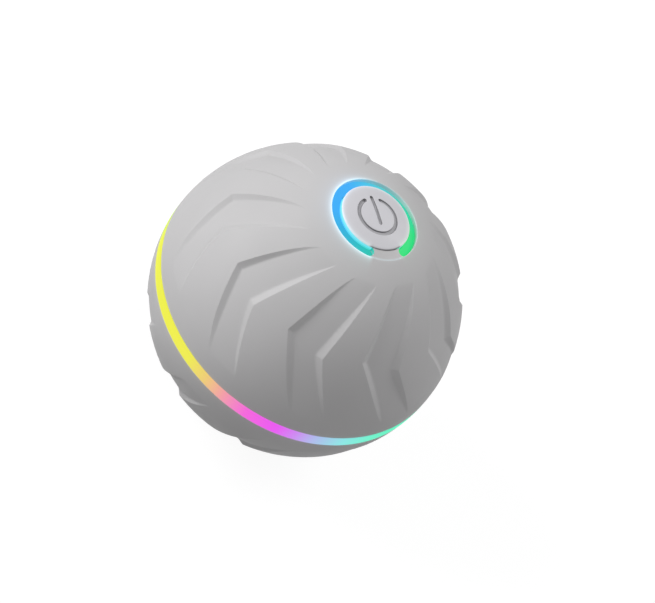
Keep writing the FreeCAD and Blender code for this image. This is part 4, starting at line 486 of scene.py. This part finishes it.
class Finish:
    """A material in the making. What is the same all over goes on the shader's own sockets."""

    def __init__(self, name, **constants):
        self.material = bpy.data.materials.new(name)
        self.material.use_nodes = True
        self.tree = self.material.node_tree
        self.shader = self.tree.nodes["Principled BSDF"]
        for socket, value in constants.items():
            self.shader.inputs[socket.replace("_", " ")].default_value = value

    def node(self, kind, settings=None, inputs=None, output=0):
        """Adds a node, sets its settings and a ramp's stops first and then its sockets. Returns an output."""
        made = self.tree.nodes.new(kind)
        for key, value in (settings or {}).items():
            if key == "stops":
                self.set_stops(made.color_ramp, value)
            else:
                setattr(made, key, value)
        for key, value in (inputs or {}).items():
            if isinstance(value, Value):
                self.tree.links.new(value.socket, made.inputs[key])
            else:
                made.inputs[key].default_value = value
        return Value(self, made.outputs[output])

    @staticmethod
    def set_stops(ramp, stops):
        for place, _ in stops[2:]:
            ramp.elements.new(place)
        for element, (place, colour) in zip(ramp.elements, stops):
            element.position = place
            element.color = colour

    def feed(self, **links):
        """Links values to the shader's sockets. Returns the material."""
        for socket, value in links.items():
            self.tree.links.new(value.socket, self.shader.inputs[socket.replace("_", " ")])
        return self.material

    def place(self):
        """The position on the object."""
        return self.node("ShaderNodeTexCoord", output="Object")

    def parts(self):
        """The three coordinates of the position on the object."""
        place = self.place()
        return tuple(self.node("ShaderNodeSeparateXYZ", inputs={0: place}, output=i) for i in range(3))

    def stretched(self, scale, centre=(0, 0, 0)):
        """The position, moved by a centre and scaled along each axis."""
        moved = self.node("ShaderNodeVectorMath", {"operation": "SUBTRACT"}, {0: self.place(), 1: centre})
        return self.node("ShaderNodeVectorMath", {"operation": "MULTIPLY"}, {0: moved, 1: scale})

    def noise(self, scale, detail, where=None):
        return self.node("ShaderNodeTexNoise",
                         inputs={"Vector": where or self.place(), "Scale": scale, "Detail": detail})

    def cells(self, scale):
        """The distance to the nearest of many scattered points."""
        return self.node("ShaderNodeTexVoronoi", inputs={"Vector": self.place(), "Scale": scale}, output="Distance")

    def apart(self, a, b):
        """The distance between two positions."""
        return self.node("ShaderNodeVectorMath", {"operation": "DISTANCE"}, {0: a, 1: b}, "Value")

    def ramp(self, value, stops):
        return self.node("ShaderNodeValToRGB", {"stops": stops}, {0: value})

    def mix(self, share, a, b, blend="MIX"):
        return self.node("ShaderNodeMix", {"data_type": "RGBA", "blend_type": blend}, {0: share, 6: a, 7: b}, 2)

    def between(self, value, low, high, to_low=0.0, to_high=1.0):
        """The value carried from one range to another, held at its ends."""
        return self.node("ShaderNodeMapRange", {"clamp": True},
                         {"Value": value, "From Min": low, "From Max": high, "To Min": to_low, "To Max": to_high})

    def spread(self, pattern, low, high):
        """A noise pattern carried to a range. Nearly all of the noise lies between 0.3 and 0.7."""
        return self.between(pattern, 0.3, 0.7, low, high)

    def bump(self, height, distance, strength):
        return self.node("ShaderNodeBump", inputs={"Height": height, "Distance": distance, "Strength": strength})

    def turn(self, x, y):
        """Longitude as a share of the turn, 0.5 facing -Y."""
        return x.math("ARCTAN2", x, -1 * y) / (2 * math.pi) + 0.5

    def past_gap(self, turn, first, last):
        """0 in the gap of the C-shaped light and 1 past it. It rises between two angles from its middle."""
        return self.between(abs(turn - LIGHT_GAP), first / 360, last / 360)

    def fade(self, distance, reach):
        """1 where the distance is nothing, falling to a third at each reach."""
        return distance.math("EXPONENT", -1 / reach * distance)

    def mottled(self, colour, amount, scale):
        """A colour that is a little lighter and darker in soft patches."""
        colour = np.array(colour)
        light, dark = np.clip(colour * (1 + amount), 0, 1), np.clip(colour * (1 - amount), 0, 1)
        light[3] = dark[3] = 1
        return self.mix(self.noise(scale, 3), tuple(dark), tuple(light))


def by_longitude(table):
    return [((lon + 180) / 360, linear(colour)) for lon, colour in table]


def dimmed(colour, share):
    return tuple(share * c for c in colour[:3]) + (1,)


def toned(table, share):
    """The stops of a table of colours with every colour at a share of its strength."""
    return [(place, dimmed(colour, share)) for place, colour in by_longitude(table)]


def how_far(x, y, z=None):
    """How far a point is from the ball's axis, or from its middle if z is given."""
    square = x * x + y * y
    return (square if z is None else square + z * z) ** 0.5


def rubber_cover(colours, sizes):
    """Matte rubber with a fine moulded grain, and a painted glow of the two lights on its rims, put in its emission
    colour. Beside the C-shaped light the painted glow is wide and pale on one side and only a thin line on the
    other, and in the light's gap a painted thin white line of light comes through."""
    f = Finish("cover_rubber", Specular_IOR_Level=0.35, Emission_Strength=1.0)
    x, y, z = f.parts()
    turn, out, depth = f.turn(x, y), how_far(x, y), sizes.radius - how_far(x, y, z)
    power, ring = f.ramp(turn, by_longitude(POWER_COLOURS)), f.ramp(turn, by_longitude(RING_COLOURS))
    # Painted glow and highlight: the masks below paint the lights' glow on the rims, and a thin white line at the
    # opening, into the emission colour.
    away, lit = abs(out - sizes.bezel_opening), f.past_gap(turn, 19.5, 24.0)
    wide = f.between(abs(turn - HALO_MIDDLE), 70.0 / 360, 115.0 / 360, 1.0, 0.0) * lit
    on_rim = f.between(depth, 0.12 * MM, 0.4 * MM, 1.0, 0.0) * (z > 0)
    inside = f.between(depth, 0.3 * MM, 0.6 * MM) * f.fade(away, 0.3 * MM) * lit * (z > 0)
    line = f.fade(away, 0.13 * MM) * (0.3 - 0.15 * lit)
    close = f.fade(away, 0.5 * MM) * wide * colours.halo
    glow = f.mix((close + line) * on_rim, BLACK, linear((205, 243, 253)))
    for share, colour in ((f.fade(away, 1.5 * MM) * (0.25 + wide) * lit * on_rim * 0.12, power),
                          (inside * (0.12 + 0.22 * wide), power),
                          (f.fade(abs(z) - sizes.ring_half, 0.6 * MM) * 0.05, ring)):
        glow = f.mix(1.0, glow, f.mix(share, BLACK, colour), "ADD")
    return f.feed(Base_Color=f.mottled(colours.cover, 0.025, 55), Emission_Color=glow,
                  Roughness=f.spread(f.noise(90, 3), 0.56, 0.68),
                  Normal=f.bump(f.noise(2600, 2) + 0.35 * f.noise(420, 2), 0.012 * MM, 0.6))


def satin_plastic(name, colour):
    """Satin plastic with a fine moulded grain that can glow, as the finish and the links of its shader."""
    f = Finish(name, Emission_Strength=1.0)
    return f, dict(Base_Color=f.mottled(colour, 0.02, 160), Roughness=f.spread(f.noise(300, 3), 0.42, 0.52),
                   Normal=f.bump(f.noise(3200, 2), 0.008 * MM, 0.5))


def bezel_plastic(colours, button):
    """The bezel's plastic, the colour of the covers. A painted thin line of light shows at its outer edge, and the
    walls that face the ends of the light have a painted glow in its colours over a blackened base colour. The
    inner edge has painted shade, dark with the gap round the cap."""
    f, links = satin_plastic("bezel_plastic", colours.cover)
    x, y, z = f.parts()
    turn, out, depth = f.turn(x, y), how_far(x, y), BALL - how_far(x, y, z)
    # Painted highlight at the outer edge, painted shade at the inner edge by the gap, and painted glow on the walls
    # that face the light's ends.
    edge = f.fade(abs(out - BEZEL), 0.12 * MM) * 0.22
    inner = f.fade(abs(out - button.radius - CAP_GAP), 0.1 * MM) * 0.6
    facing = f.past_gap(turn, 19.5, 19.9) * f.between(depth, 0.05 * MM, 0.15 * MM)
    facing = facing * f.between(depth, 1.0 * MM, 1.1 * MM, 0.9, 0.0)
    links["Base_Color"] = f.mix(facing + inner, links["Base_Color"], BLACK)
    glow = f.mix(edge, BLACK, linear((225, 246, 250)))
    return f.feed(Emission_Color=f.mix(facing, glow, f.ramp(turn, by_longitude(POWER_COLOURS))), **links)


def cap_plastic(colours, button):
    """The cap's plastic. A painted glow of the light beside it lies on its skirt and rim and at the skirt's foot,
    and the lit skirt's base colour has a painted tint of that light. In the light's gap and a little past its
    ends the rim has painted shade. The engraved lines have painted shade: they are darker, and darkest at the
    ends of the arc and of the bar."""
    f, links = satin_plastic("cap_plastic", colours.button)
    x, y, z = f.parts()
    turn, out, depth = f.turn(x, y), how_far(x, y), BALL - how_far(x, y, z)
    power, from_edge = f.ramp(turn, by_longitude(POWER_COLOURS)), button.radius - out
    lit, rim_lit = f.past_gap(turn, 19.6, 20.8), f.past_gap(turn, 25.0, 30.0)
    skirt = f.between(depth, 0.15 * MM, 0.4 * MM) * (out > button.radius - 0.5 * MM)
    foot = f.between(depth, 0.92 * MM, 1.02 * MM) * skirt * lit
    tint = f.mix(skirt, f.mix(0.6, power, WHITE), linear((110, 238, 250)))
    # Painted glow of the light on the skirt and rim, a painted tint of it in the lit skirt's base colour, and painted
    # shade on the rim in the light's gap.
    near = f.fade(from_edge, 0.45 * MM) * (lit * skirt * 0.75 + rim_lit * (1 - skirt) * 0.4)
    shaded = f.fade(from_edge, 0.15 * MM) * (1 - rim_lit) * (1 - skirt * lit) * 0.75
    base = f.mix(skirt * lit * 0.85, links["Base_Color"], linear((40, 110, 120)))
    base = f.mix(shaded, base, BLACK)
    # Painted shade in the engraved symbol: darker walls and floor, and darker still at the ends of the arc and of the
    # bar.
    symbol = f.between(depth, 0.04 * MM, 0.1 * MM) * (out < 6.4 * MM)
    bottom = f.between(depth, button.symbol_depth - 0.1 * MM, button.symbol_depth - 0.02 * MM)
    ends = 0
    for reach, side in ((button.bar_out - 0.3 * MM, 0), (button.symbol_radius, -0.5), (button.symbol_radius, 0.5)):
        angle = button.symbol_side + side * button.symbol_gap
        height = math.sqrt(BALL**2 - reach**2) - button.symbol_depth
        spot = (reach * math.sin(angle), -reach * math.cos(angle), height)
        ends = f.fade(f.apart(f.place(), spot), 0.45 * MM) + ends
    wall, floor, end = (dimmed(colours.button, share) for share in (0.32, 0.7, 0.04))
    dark = f.mix(f.between(ends, 0.25, 1.0), f.mix(bottom, wall, floor), end)
    links["Base_Color"] = f.mix(symbol, base, dark)
    return f.feed(Emission_Color=f.mix(foot, f.mix(near, BLACK, tint), power), **links)


def light_guide(name, table, brightness, frost):
    """A frosted guide lit from behind: its colour changes with longitude, in its own light and in what it
    sends back."""
    f = Finish(name, Emission_Strength=brightness, Specular_IOR_Level=0.12)
    x, y, _ = f.parts()
    turn, patch = f.turn(x, y), f.noise(frost, 3)
    shade = f.between(patch, 0.25, 0.75, 0.94, 1.0)
    grey = f.node("ShaderNodeCombineColor", inputs={0: shade, 1: shade, 2: shade})
    return f.feed(Base_Color=f.ramp(turn, toned(table, 0.06)), Roughness=f.spread(patch, 0.44, 0.56),
                  Emission_Color=f.mix(1.0, f.ramp(turn, by_longitude(table)), grey, "MULTIPLY"),
                  Normal=f.bump(f.noise(2200, 2), 0.006 * MM, 0.4))


def moulded(name, colour, rough, grain=1500, depth=0.012):
    """Moulded plastic with a spark-eroded grain and soft patches of gloss."""
    f = Finish(name)
    return f.feed(Base_Color=f.mottled(linear(colour), 0.06, 120),
                  Roughness=f.spread(f.noise(200, 3), rough - 0.06, rough + 0.08),
                  Normal=f.bump(f.noise(grain, 2) + 0.4 * f.noise(grain / 6, 2), depth * MM, 0.6))


def brushed(name, colour, rough, scale):
    """Drawn or rolled metal: fine scratches along one direction in its gloss and its surface."""
    f = Finish(name, Metallic=1.0)
    lines, colour = f.noise(900, 4, f.stretched(scale)), linear(colour)
    return f.feed(Base_Color=f.mix(lines, dimmed(colour, 0.86), colour),
                  Roughness=f.spread(lines, rough - 0.08, rough + 0.12), Normal=f.bump(lines, 0.006 * MM, 0.5))


def screw_metal():
    """Zinc-plated steel with a ring-shaped lathe mark on the heads."""
    f = Finish("screw_zinc", Metallic=1.0)
    marks = f.noise(1800, 3, f.stretched((1, 1, 4)))
    return f.feed(Base_Color=f.mix(f.noise(160, 2), linear((168, 172, 182)), linear((196, 192, 178))),
                  Roughness=f.spread(marks, 0.24, 0.42), Normal=f.bump(marks, 0.008 * MM, 0.5))


def cast_metal(name, colour, grit=700, depth=0.05, metallic=0.85):
    """A rough casting: coarse grit, a few pits and uneven gloss."""
    f = Finish(name, Metallic=metallic)
    height, colour = f.noise(grit, 5) + 0.4 * f.between(f.cells(grit), 0.0, 0.25), linear(colour)
    return f.feed(Base_Color=f.mix(f.noise(grit / 8, 4), dimmed(colour, 0.7), colour),
                  Roughness=f.spread(f.noise(grit / 3, 3), 0.5, 0.72), Normal=f.bump(height, depth * MM, 0.7))


def circuit_board():
    """Green solder mask over copper tracks on a 1.27 mm raster, with tinned pads and a bare yellow edge."""
    f = Finish("circuit_board", Coat_Roughness=0.2)
    where, row = f.stretched((1, 1, 0)), 1.27 * MM
    tracks = f.node("ShaderNodeTexBrick", {"offset": 0.5, "squash": 1.0},
                    {"Vector": where, "Scale": 1.0, "Brick Width": 5.1 * MM, "Row Height": row,
                     "Mortar Size": 0.17 * MM, "Mortar Smooth": 0.2}, "Fac") * (f.noise(240, 1, where) > 0.48)
    snap = f.node("ShaderNodeVectorMath", {"operation": "SNAP"},
                  {0: f.stretched((1, 1, 0), (-row, -row, 0)), 1: (2 * row, 2 * row, 1)})
    pads = (f.apart(where, snap) < 0.42 * MM) * (f.noise(180, 1, snap) > 0.55)
    mask = f.mix(tracks, linear((16, 84, 52)), linear((34, 118, 70)))
    mask = f.mix(pads, mask, linear((206, 204, 196)))
    upright = f.node("ShaderNodeSeparateXYZ", inputs={0: f.node("ShaderNodeNewGeometry", output="Normal")}, output=2)
    flat = abs(upright) > 0.5
    return f.feed(Base_Color=f.mix(flat, linear((188, 170, 104)), mask), Metallic=pads * flat,
                  Roughness=f.spread(f.noise(500, 2), 0.28, 0.4) + 0.3 * (1 - flat),
                  Normal=f.bump(tracks + pads, 0.03 * MM, 0.8))


def chip_epoxy():
    """Black moulding compound with a fine pitted surface."""
    f = Finish("chip_epoxy")
    return f.feed(Base_Color=f.mix(f.noise(600, 2), linear((22, 22, 24)), linear((44, 44, 47))),
                  Roughness=f.spread(f.noise(900, 2), 0.46, 0.66), Normal=f.bump(f.cells(3800), 0.02 * MM, 0.6))


def diode_body():
    """A white diode package whose face is a yellow phosphor dome."""
    f = Finish("diode_body", Emission_Strength=0.5, Coat_Roughness=0.1)
    face = f.between(f.noise(700, 1), 0.42, 0.5)
    return f.feed(Base_Color=f.mix(face, linear((244, 243, 236)), linear((246, 224, 120))),
                  Emission_Color=f.mix(face, BLACK, linear((255, 246, 214))),
                  Roughness=f.between(face, 0, 1, 0.4, 0.22), Normal=f.bump(face, 0.02 * MM, 0.5))


def light_strip():
    """The white film of the light strip. Each of its 20 diodes has two copper pads and a printed line."""
    f = Finish("strip_film")
    x, y, z = f.parts()
    step = (f.turn(x, y) * 20).fraction()
    pads = (abs(step - 0.5) < 0.09) * (abs(abs(z) - 1.1 * MM) < 0.45 * MM)
    line = abs(step) < 0.012
    film = f.mix(line, f.mottled(linear((240, 238, 230)), 0.03, 200), linear((120, 116, 108)))
    return f.feed(Base_Color=f.mix(pads, film, linear((204, 140, 92))), Metallic=pads,
                  Roughness=f.spread(f.noise(260, 2), 0.34, 0.5), Normal=f.bump(pads + line, 0.03 * MM, 0.6))


def cell_wrap():
    """The cell's blue shrink film with a lengthwise seam. Its ends are bare nickel-plated steel."""
    f = Finish("cell_wrap", Coat_Roughness=0.12)
    low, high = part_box("battery_cell")
    middle = (low.x + high.x) / 2
    x, y, z = f.parts()
    out = ((x - middle) ** 2 + y * y) ** 0.5
    ends = (z > high.z - 1.2 * MM) * (out < 5.6 * MM)
    ends = ends + (z < low.z + 0.3 * MM) * (out < 5.2 * MM)
    seam = f.fade(abs(y - 3.2 * MM), 0.12 * MM) * (x > middle)
    wrinkle = f.noise(120, 4, f.stretched((1, 1, 0.35)))
    film = f.mix(wrinkle, linear((38, 104, 158)), linear((64, 146, 200)))
    film = f.mix(seam * 0.6, film, linear((24, 66, 104)))
    return f.feed(Base_Color=f.mix(ends, film, linear((196, 195, 188))), Metallic=ends,
                  Roughness=f.spread(wrinkle, 0.2, 0.34), Normal=f.bump(wrinkle + seam, 0.05 * MM, 0.5))


def foam():
    """Open-cell foam: a network of small dark pores."""
    f = Finish("pad_foam")
    pores = f.cells(1500)
    return f.feed(Base_Color=f.mix(f.between(pores, 0.1, 0.6), linear((22, 22, 24)), linear((70, 70, 73))),
                  Roughness=f.spread(f.noise(400, 2), 0.82, 0.95), Normal=f.bump(pores, 0.12 * MM, 1.0))


def laminations():
    """Stacked steel sheets: a line every 0.35 mm along the motor's axis."""
    f = Finish("armature_sheets", Metallic=0.9)
    z = f.parts()[2]
    edge = abs((z / (0.35 * MM)).fraction() - 0.5) > 0.4
    tint = f.mix(f.noise(500, 3), linear((112, 108, 104)), linear((150, 146, 140)))
    return f.feed(Base_Color=f.mix(edge, tint, linear((70, 66, 62))), Normal=f.bump(1 - edge, 0.03 * MM, 0.8),
                  Roughness=f.spread(f.noise(800, 2), 0.4, 0.6))


def nylon(name, colour):
    """Milky gear nylon with faint flow marks."""
    f = Finish(name, Subsurface_Weight=0.12, Subsurface_Scale=0.001)
    flow, colour = f.noise(260, 4, f.stretched((1, 1, 0.4))), linear(colour)
    return f.feed(Base_Color=f.mix(flow, dimmed(colour, 0.9), colour), Roughness=f.spread(flow, 0.34, 0.5),
                  Normal=f.bump(f.noise(1300, 2), 0.01 * MM, 0.5))


def soft_silicone(name, colour):
    """Translucent silicone with a dusty matte skin."""
    f = Finish(name, Subsurface_Weight=0.1, Subsurface_Scale=0.001)
    return f.feed(Base_Color=f.mottled(linear(colour), 0.05, 140), Roughness=f.spread(f.noise(240, 3), 0.5, 0.68),
                  Normal=f.bump(f.noise(1900, 2), 0.012 * MM, 0.5))


def plug_silicone(colours):
    """The plug's matte silicone, close to the colour of the covers."""
    f = Finish("plug_silicone")
    return f.feed(Base_Color=f.mottled(colours.plug, 0.03, 90), Roughness=f.spread(f.noise(150, 3), 0.56, 0.68),
                  Normal=f.bump(f.noise(2300, 2) + 0.3 * f.noise(400, 2), 0.012 * MM, 0.6))


def cable_jacket(name, first, second=None, split=0.0):
    """Extruded jacket with fine drag lines. A second colour covers the side beyond a line across Y."""
    f = Finish(name)
    drag, colour = f.noise(1400, 3), f.mottled(linear(first), 0.1, 300)
    if second:
        colour = f.mix(f.parts()[1] > split, colour, linear(second))
    return f.feed(Base_Color=colour, Roughness=f.spread(drag, 0.4, 0.58), Normal=f.bump(drag, 0.015 * MM, 0.5))


def dress(material, *names):
    """Puts one material on the CAD nodes of those names."""
    for name in names:
        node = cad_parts[name]
        for slot in node.material_slots:
            slot.material = material
        if not node.material_slots:
            node.data.materials.append(material)


def coat(piece, material):
    piece.data.materials.append(material)


# Operators


class DOGBALL_OT_stage(bpy.types.Operator):
    """Set up the floor, the soft studio lamps and the camera"""

    bl_idname = "dogball.stage"
    bl_label = "Stage"

    def execute(self, context):
        stage, scene = settings("stage"), context.scene
        right, up, back = (VIEW.col[i].normalized() for i in range(3))
        camera = bpy.data.objects.new("camera", bpy.data.cameras.new("camera"))
        scene.collection.objects.link(camera)
        camera.matrix_world = Matrix.Translation(back * stage.distance) @ VIEW.to_4x4()
        camera.data.lens = stage.lens
        camera.data.sensor_fit, camera.data.sensor_width = "HORIZONTAL", 36
        camera.data.shift_x, camera.data.shift_y = PICTURE_SHIFT
        camera.data.clip_start = 0.01
        scene.camera = camera
        scene.view_settings.view_transform = "Standard"
        for name, (over, above, before, width) in LAMPS.items():
            side = over * right + above * up + before * back
            lamp = bpy.data.lights.new(name + "_lamp", "AREA")
            lamp.shape, lamp.size, lamp.energy = "DISK", width, getattr(stage, name)
            holder = bpy.data.objects.new(name + "_lamp", lamp)
            scene.collection.objects.link(holder)
            holder.location = side.normalized() * LAMP_DISTANCE
            holder.rotation_euler = side.to_track_quat("Z", "Y").to_euler()
        self.make_floor(scene, stage)
        self.make_sky(scene, stage)
        return {"FINISHED"}

    @staticmethod
    def make_floor(scene, stage):
        """A wide disc under the ball. Seen by the camera, straight or by gloss or through glass, it is white
        paper that keeps the ball's shadow and is plain white further out. The light on the ball meets a grey
        floor instead. From below it is clear, so that it doesn't hide the ball."""
        fade_from, fade_to, end = FLOOR_RADII
        mesh = bpy.data.meshes.new("floor")
        mesh.from_pydata(turned([0.0, fade_to, end], [-settings("sizes").radius] * 3, 64).reshape(-1, 3), [],
                         quads(3, 64)[:, ::-1])
        floor = bpy.data.objects.new("floor", mesh)
        scene.collection.objects.link(floor)
        f = Finish("floor_paper", Roughness=0.9, Emission_Color=WHITE, Emission_Strength=stage.floor_light)
        f.feed(Base_Color=f.mottled(tuple(stage.floor), 0.03, 8))
        x, y, _ = f.parts()
        seen = f.node("ShaderNodeLightPath", output="Is Camera Ray")
        for name in ("Is Glossy Ray", "Is Transmission Ray"):
            seen = f.node("ShaderNodeMath", {"operation": "ADD", "use_clamp": True},
                          {0: seen, 1: f.node("ShaderNodeLightPath", output=name)})
        bright = f.node("ShaderNodeEmission", inputs={"Color": WHITE, "Strength": 0.88})
        shaded = f.node("ShaderNodeBsdfDiffuse", inputs={"Color": (0.2, 0.2, 0.2, 1)})
        paper = f.node("ShaderNodeAddShader", inputs={0: bright, 1: shaded})
        plain = f.node("ShaderNodeEmission", inputs={"Color": WHITE, "Strength": 1.0})
        clear = f.node("ShaderNodeBsdfTransparent")
        below = f.node("ShaderNodeNewGeometry", output="Backfacing")

        def either(share, a, b):
            return f.node("ShaderNodeMixShader", inputs={0: share, 1: a, 2: b})

        paper = either(f.between(how_far(x, y), fade_from, fade_to), paper, plain)
        both = either(below, either(seen, Value(f, f.shader.outputs[0]), paper), clear)
        f.tree.links.new(both.socket, f.tree.nodes["Material Output"].inputs["Surface"])
        coat(floor, f.material)

    @staticmethod
    def make_sky(scene, stage):
        """An even light all round, which the camera sees as plain white."""
        world = bpy.data.worlds.new("sky")
        world.use_nodes = True
        scene.world = world
        tree = world.node_tree
        light, white = tree.nodes["Background"], tree.nodes.new("ShaderNodeBackground")
        for background in (light, white):
            background.inputs["Color"].default_value = WHITE
        light.inputs["Strength"].default_value = stage.sky
        both = tree.nodes.new("ShaderNodeMixShader")
        path = tree.nodes.new("ShaderNodeLightPath")
        for socket, source in enumerate((path.outputs["Is Camera Ray"], light.outputs[0], white.outputs[0])):
            tree.links.new(source, both.inputs[socket])
        tree.links.new(both.outputs[0], tree.nodes["World Output"].inputs["Surface"])


class DOGBALL_OT_covers(bpy.types.Operator):
    """Make the two rubber covers with their chevron grooves"""

    bl_idname = "dogball.covers"
    bl_label = "Tread covers"

    def execute(self, context):
        sizes = settings("sizes")
        rubber = rubber_cover(settings("colours"), sizes)
        for name, opening, side in (("upper_tread_cover", sizes.bezel_opening, 1),
                                    ("lower_tread_cover", sizes.port_opening, -1)):
            skin = build_piece(name + "_skin", [(cover_grid(sizes, opening, side), True)], "ball",
                               sharp=75, replaces=[name])
            coat(skin, rubber)
        return {"FINISHED"}


class DOGBALL_OT_equator_light(bpy.types.Operator):
    """Make the light ring between the covers and finish its strip of diodes"""

    bl_idname = "dogball.equator_light"
    bl_label = "Equator light"

    def execute(self, context):
        colours = settings("colours")
        ring = build_piece("equator_light_guide", [(ring_grid(settings("sizes")), True)], "ball",
                           replaces=["equator_light_ring"])
        coat(ring, light_guide("rainbow_guide", RING_COLOURS, colours.ring_light, 60))
        dress(light_strip(), "equator_light_strip")
        dress(diode_body(), "equator_diodes", "button_diodes")
        return {"FINISHED"}


class DOGBALL_OT_power_button(bpy.types.Operator):
    """Make the button cap with its engraved symbol, and finish its light, bezel, boot and switch"""

    bl_idname = "dogball.power_button"
    bl_label = "Power button"

    def execute(self, context):
        sizes, button, colours = settings("sizes"), settings("button"), settings("colours")
        cap = build_piece("power_button_cap", [(cap_grid(sizes.radius, button), False)], "button",
                          sharp=60, replaces=["power_button"])
        coat(cap, cap_plastic(colours, button))
        dress(bezel_plastic(colours, button), "button_bezel")
        dress(light_guide("power_guide", POWER_COLOURS, colours.power_light, 200), "power_light_ring")
        dress(soft_silicone("boot_silicone", (150, 152, 158)), "button_boot", "port_gasket")
        dress(chip_epoxy(), "tact_switch", "switch_plunger")
        return {"FINISHED"}


class DOGBALL_OT_charging_port(bpy.types.Operator):
    """Make the port plug and finish the charging socket behind it"""

    bl_idname = "dogball.charging_port"
    bl_label = "Charging port"

    def execute(self, context):
        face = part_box("charging_socket")[0].z - 0.05 * MM
        grids = plug_grids(settings("sizes").radius, settings("button"), face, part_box("port_plug")[1].z)
        plug = build_piece("port_plug_cap", [(grid, False) for grid in grids], "plug", sharp=60,
                           replaces=["port_plug"])
        coat(plug, plug_silicone(settings("colours")))
        dress(brushed("socket_shell", (190, 192, 198), 0.25, (1, 1, 12)), "charging_socket")
        dress(moulded("contact_body", (26, 26, 28), 0.45), "charging_contacts")
        return {"FINISHED"}


class DOGBALL_OT_housing(bpy.types.Operator):
    """Finish the shells, the chassis and the gear case"""

    bl_idname = "dogball.housing"
    bl_label = "Shells and chassis"

    def execute(self, context):
        dress(moulded("shell_plastic", (206, 208, 212), 0.42, 1100), "upper_shell", "lower_shell")
        dress(moulded("chassis_plastic", (52, 53, 57), 0.55, 900), "chassis")
        dress(moulded("gear_case_plastic", (72, 75, 80), 0.5, 1000), "gear_case")
        dress(screw_metal(), "button_board_screws", "chassis_screws", "gear_case_screws", "motor_screws",
              "weight_screws", "arm_screw", "main_board_screws", "charge_board_screws")
        return {"FINISHED"}


class DOGBALL_OT_drive(bpy.types.Operator):
    """Finish the motor, the gear train and the swinging weight"""

    bl_idname = "dogball.drive"
    bl_label = "Motor, gears and weight"

    def execute(self, context):
        dress(brushed("motor_steel", (188, 190, 194), 0.3, (1, 1, 0.05)), "motor_can", "pendulum_arm")
        dress(moulded("motor_cap", (38, 38, 41), 0.5), "motor_end_cap")
        dress(cast_metal("magnet_ferrite", (52, 52, 55), 900, 0.03, 0.2), "motor_magnets")
        dress(laminations(), "motor_armature")
        dress(brushed("commutator_copper", (196, 122, 82), 0.25, (6, 6, 0.1)), "motor_commutator", "motor_terminals")
        dress(brushed("shaft_steel", (198, 199, 203), 0.2, (1, 1, 20)), "motor_shaft", "output_shaft", "gear_axles")
        dress(brushed("bush_brass", (206, 172, 98), 0.28, (1, 1, 14)), "shaft_bushes", "motor_pinion")
        dress(nylon("gear_nylon", (236, 234, 224)), "output_gear", "second_reduction_gear", "first_reduction_gear")
        dress(cast_metal("cast_zinc", (128, 130, 134)), "eccentric_weight")
        return {"FINISHED"}


class DOGBALL_OT_electronics(bpy.types.Operator):
    """Finish the boards, what is on them, the battery cell and the cables"""

    bl_idname = "dogball.electronics"
    bl_label = "Boards, cell and cables"

    def execute(self, context):
        dress(circuit_board(), "button_board", "main_board", "charge_board")
        dress(chip_epoxy(), "board_chips")
        dress(moulded("ferrite_body", (54, 53, 52), 0.6, 1700, 0.03), "power_inductor")
        dress(brushed("can_aluminium", (200, 201, 206), 0.3, (1, 1, 0.1)), "vibration_switch", "board_capacitors")
        dress(moulded("socket_nylon", (232, 228, 214), 0.45, 1300), "board_sockets", "charge_cable_socket")
        dress(cell_wrap(), "battery_cell")
        dress(brushed("tab_nickel", (200, 198, 190), 0.26, (14, 1, 1)), "battery_tabs")
        dress(foam(), "battery_foam")
        dress(cable_jacket("cable_jacket", (40, 40, 43)), "charge_cable", "light_cable", "button_cable")
        low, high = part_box("motor_leads")
        dress(cable_jacket("lead_jacket", (176, 34, 30), (34, 34, 37), (low.y + high.y) / 2), "motor_leads")
        return {"FINISHED"}


OPERATORS = (DOGBALL_OT_stage, DOGBALL_OT_covers, DOGBALL_OT_equator_light, DOGBALL_OT_power_button,
             DOGBALL_OT_charging_port, DOGBALL_OT_housing, DOGBALL_OT_drive, DOGBALL_OT_electronics)
GROUPS = {"sizes": BallSizes, "button": ButtonSizes, "colours": BallColours, "stage": StageSettings}


class DOGBALL_PT_panel(bpy.types.Panel):
    """Lists the settings of the ball and the operators that make it."""

    bl_label = "Dog ball"
    bl_idname = "DOGBALL_PT_panel"
    bl_space_type = "VIEW_3D"
    bl_region_type = "UI"
    bl_category = "Dog Ball"

    def draw(self, context):
        for name, group in GROUPS.items():
            box = self.layout.box()
            box.label(text=name.capitalize())
            for key in group.__annotations__:
                box.prop(settings(name), key)
        for operator in OPERATORS:
            self.layout.operator(operator.bl_idname)


def register():
    for group in GROUPS.values():
        bpy.utils.register_class(group)
    for name, group in GROUPS.items():
        setattr(bpy.types.Scene, "dog_ball_" + name, PointerProperty(type=group))
    for item in (*OPERATORS, DOGBALL_PT_panel):
        bpy.utils.register_class(item)


def unregister():
    for item in (DOGBALL_PT_panel, *reversed(OPERATORS)):
        bpy.utils.unregister_class(item)
    for name, group in GROUPS.items():
        delattr(bpy.types.Scene, "dog_ball_" + name)
        bpy.utils.unregister_class(group)


def main():
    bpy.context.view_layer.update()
    register()
    for operator in OPERATORS:
        family, name = operator.bl_idname.split(".")
        getattr(getattr(bpy.ops, family), name)()


if __name__ == "__main__":
    main()
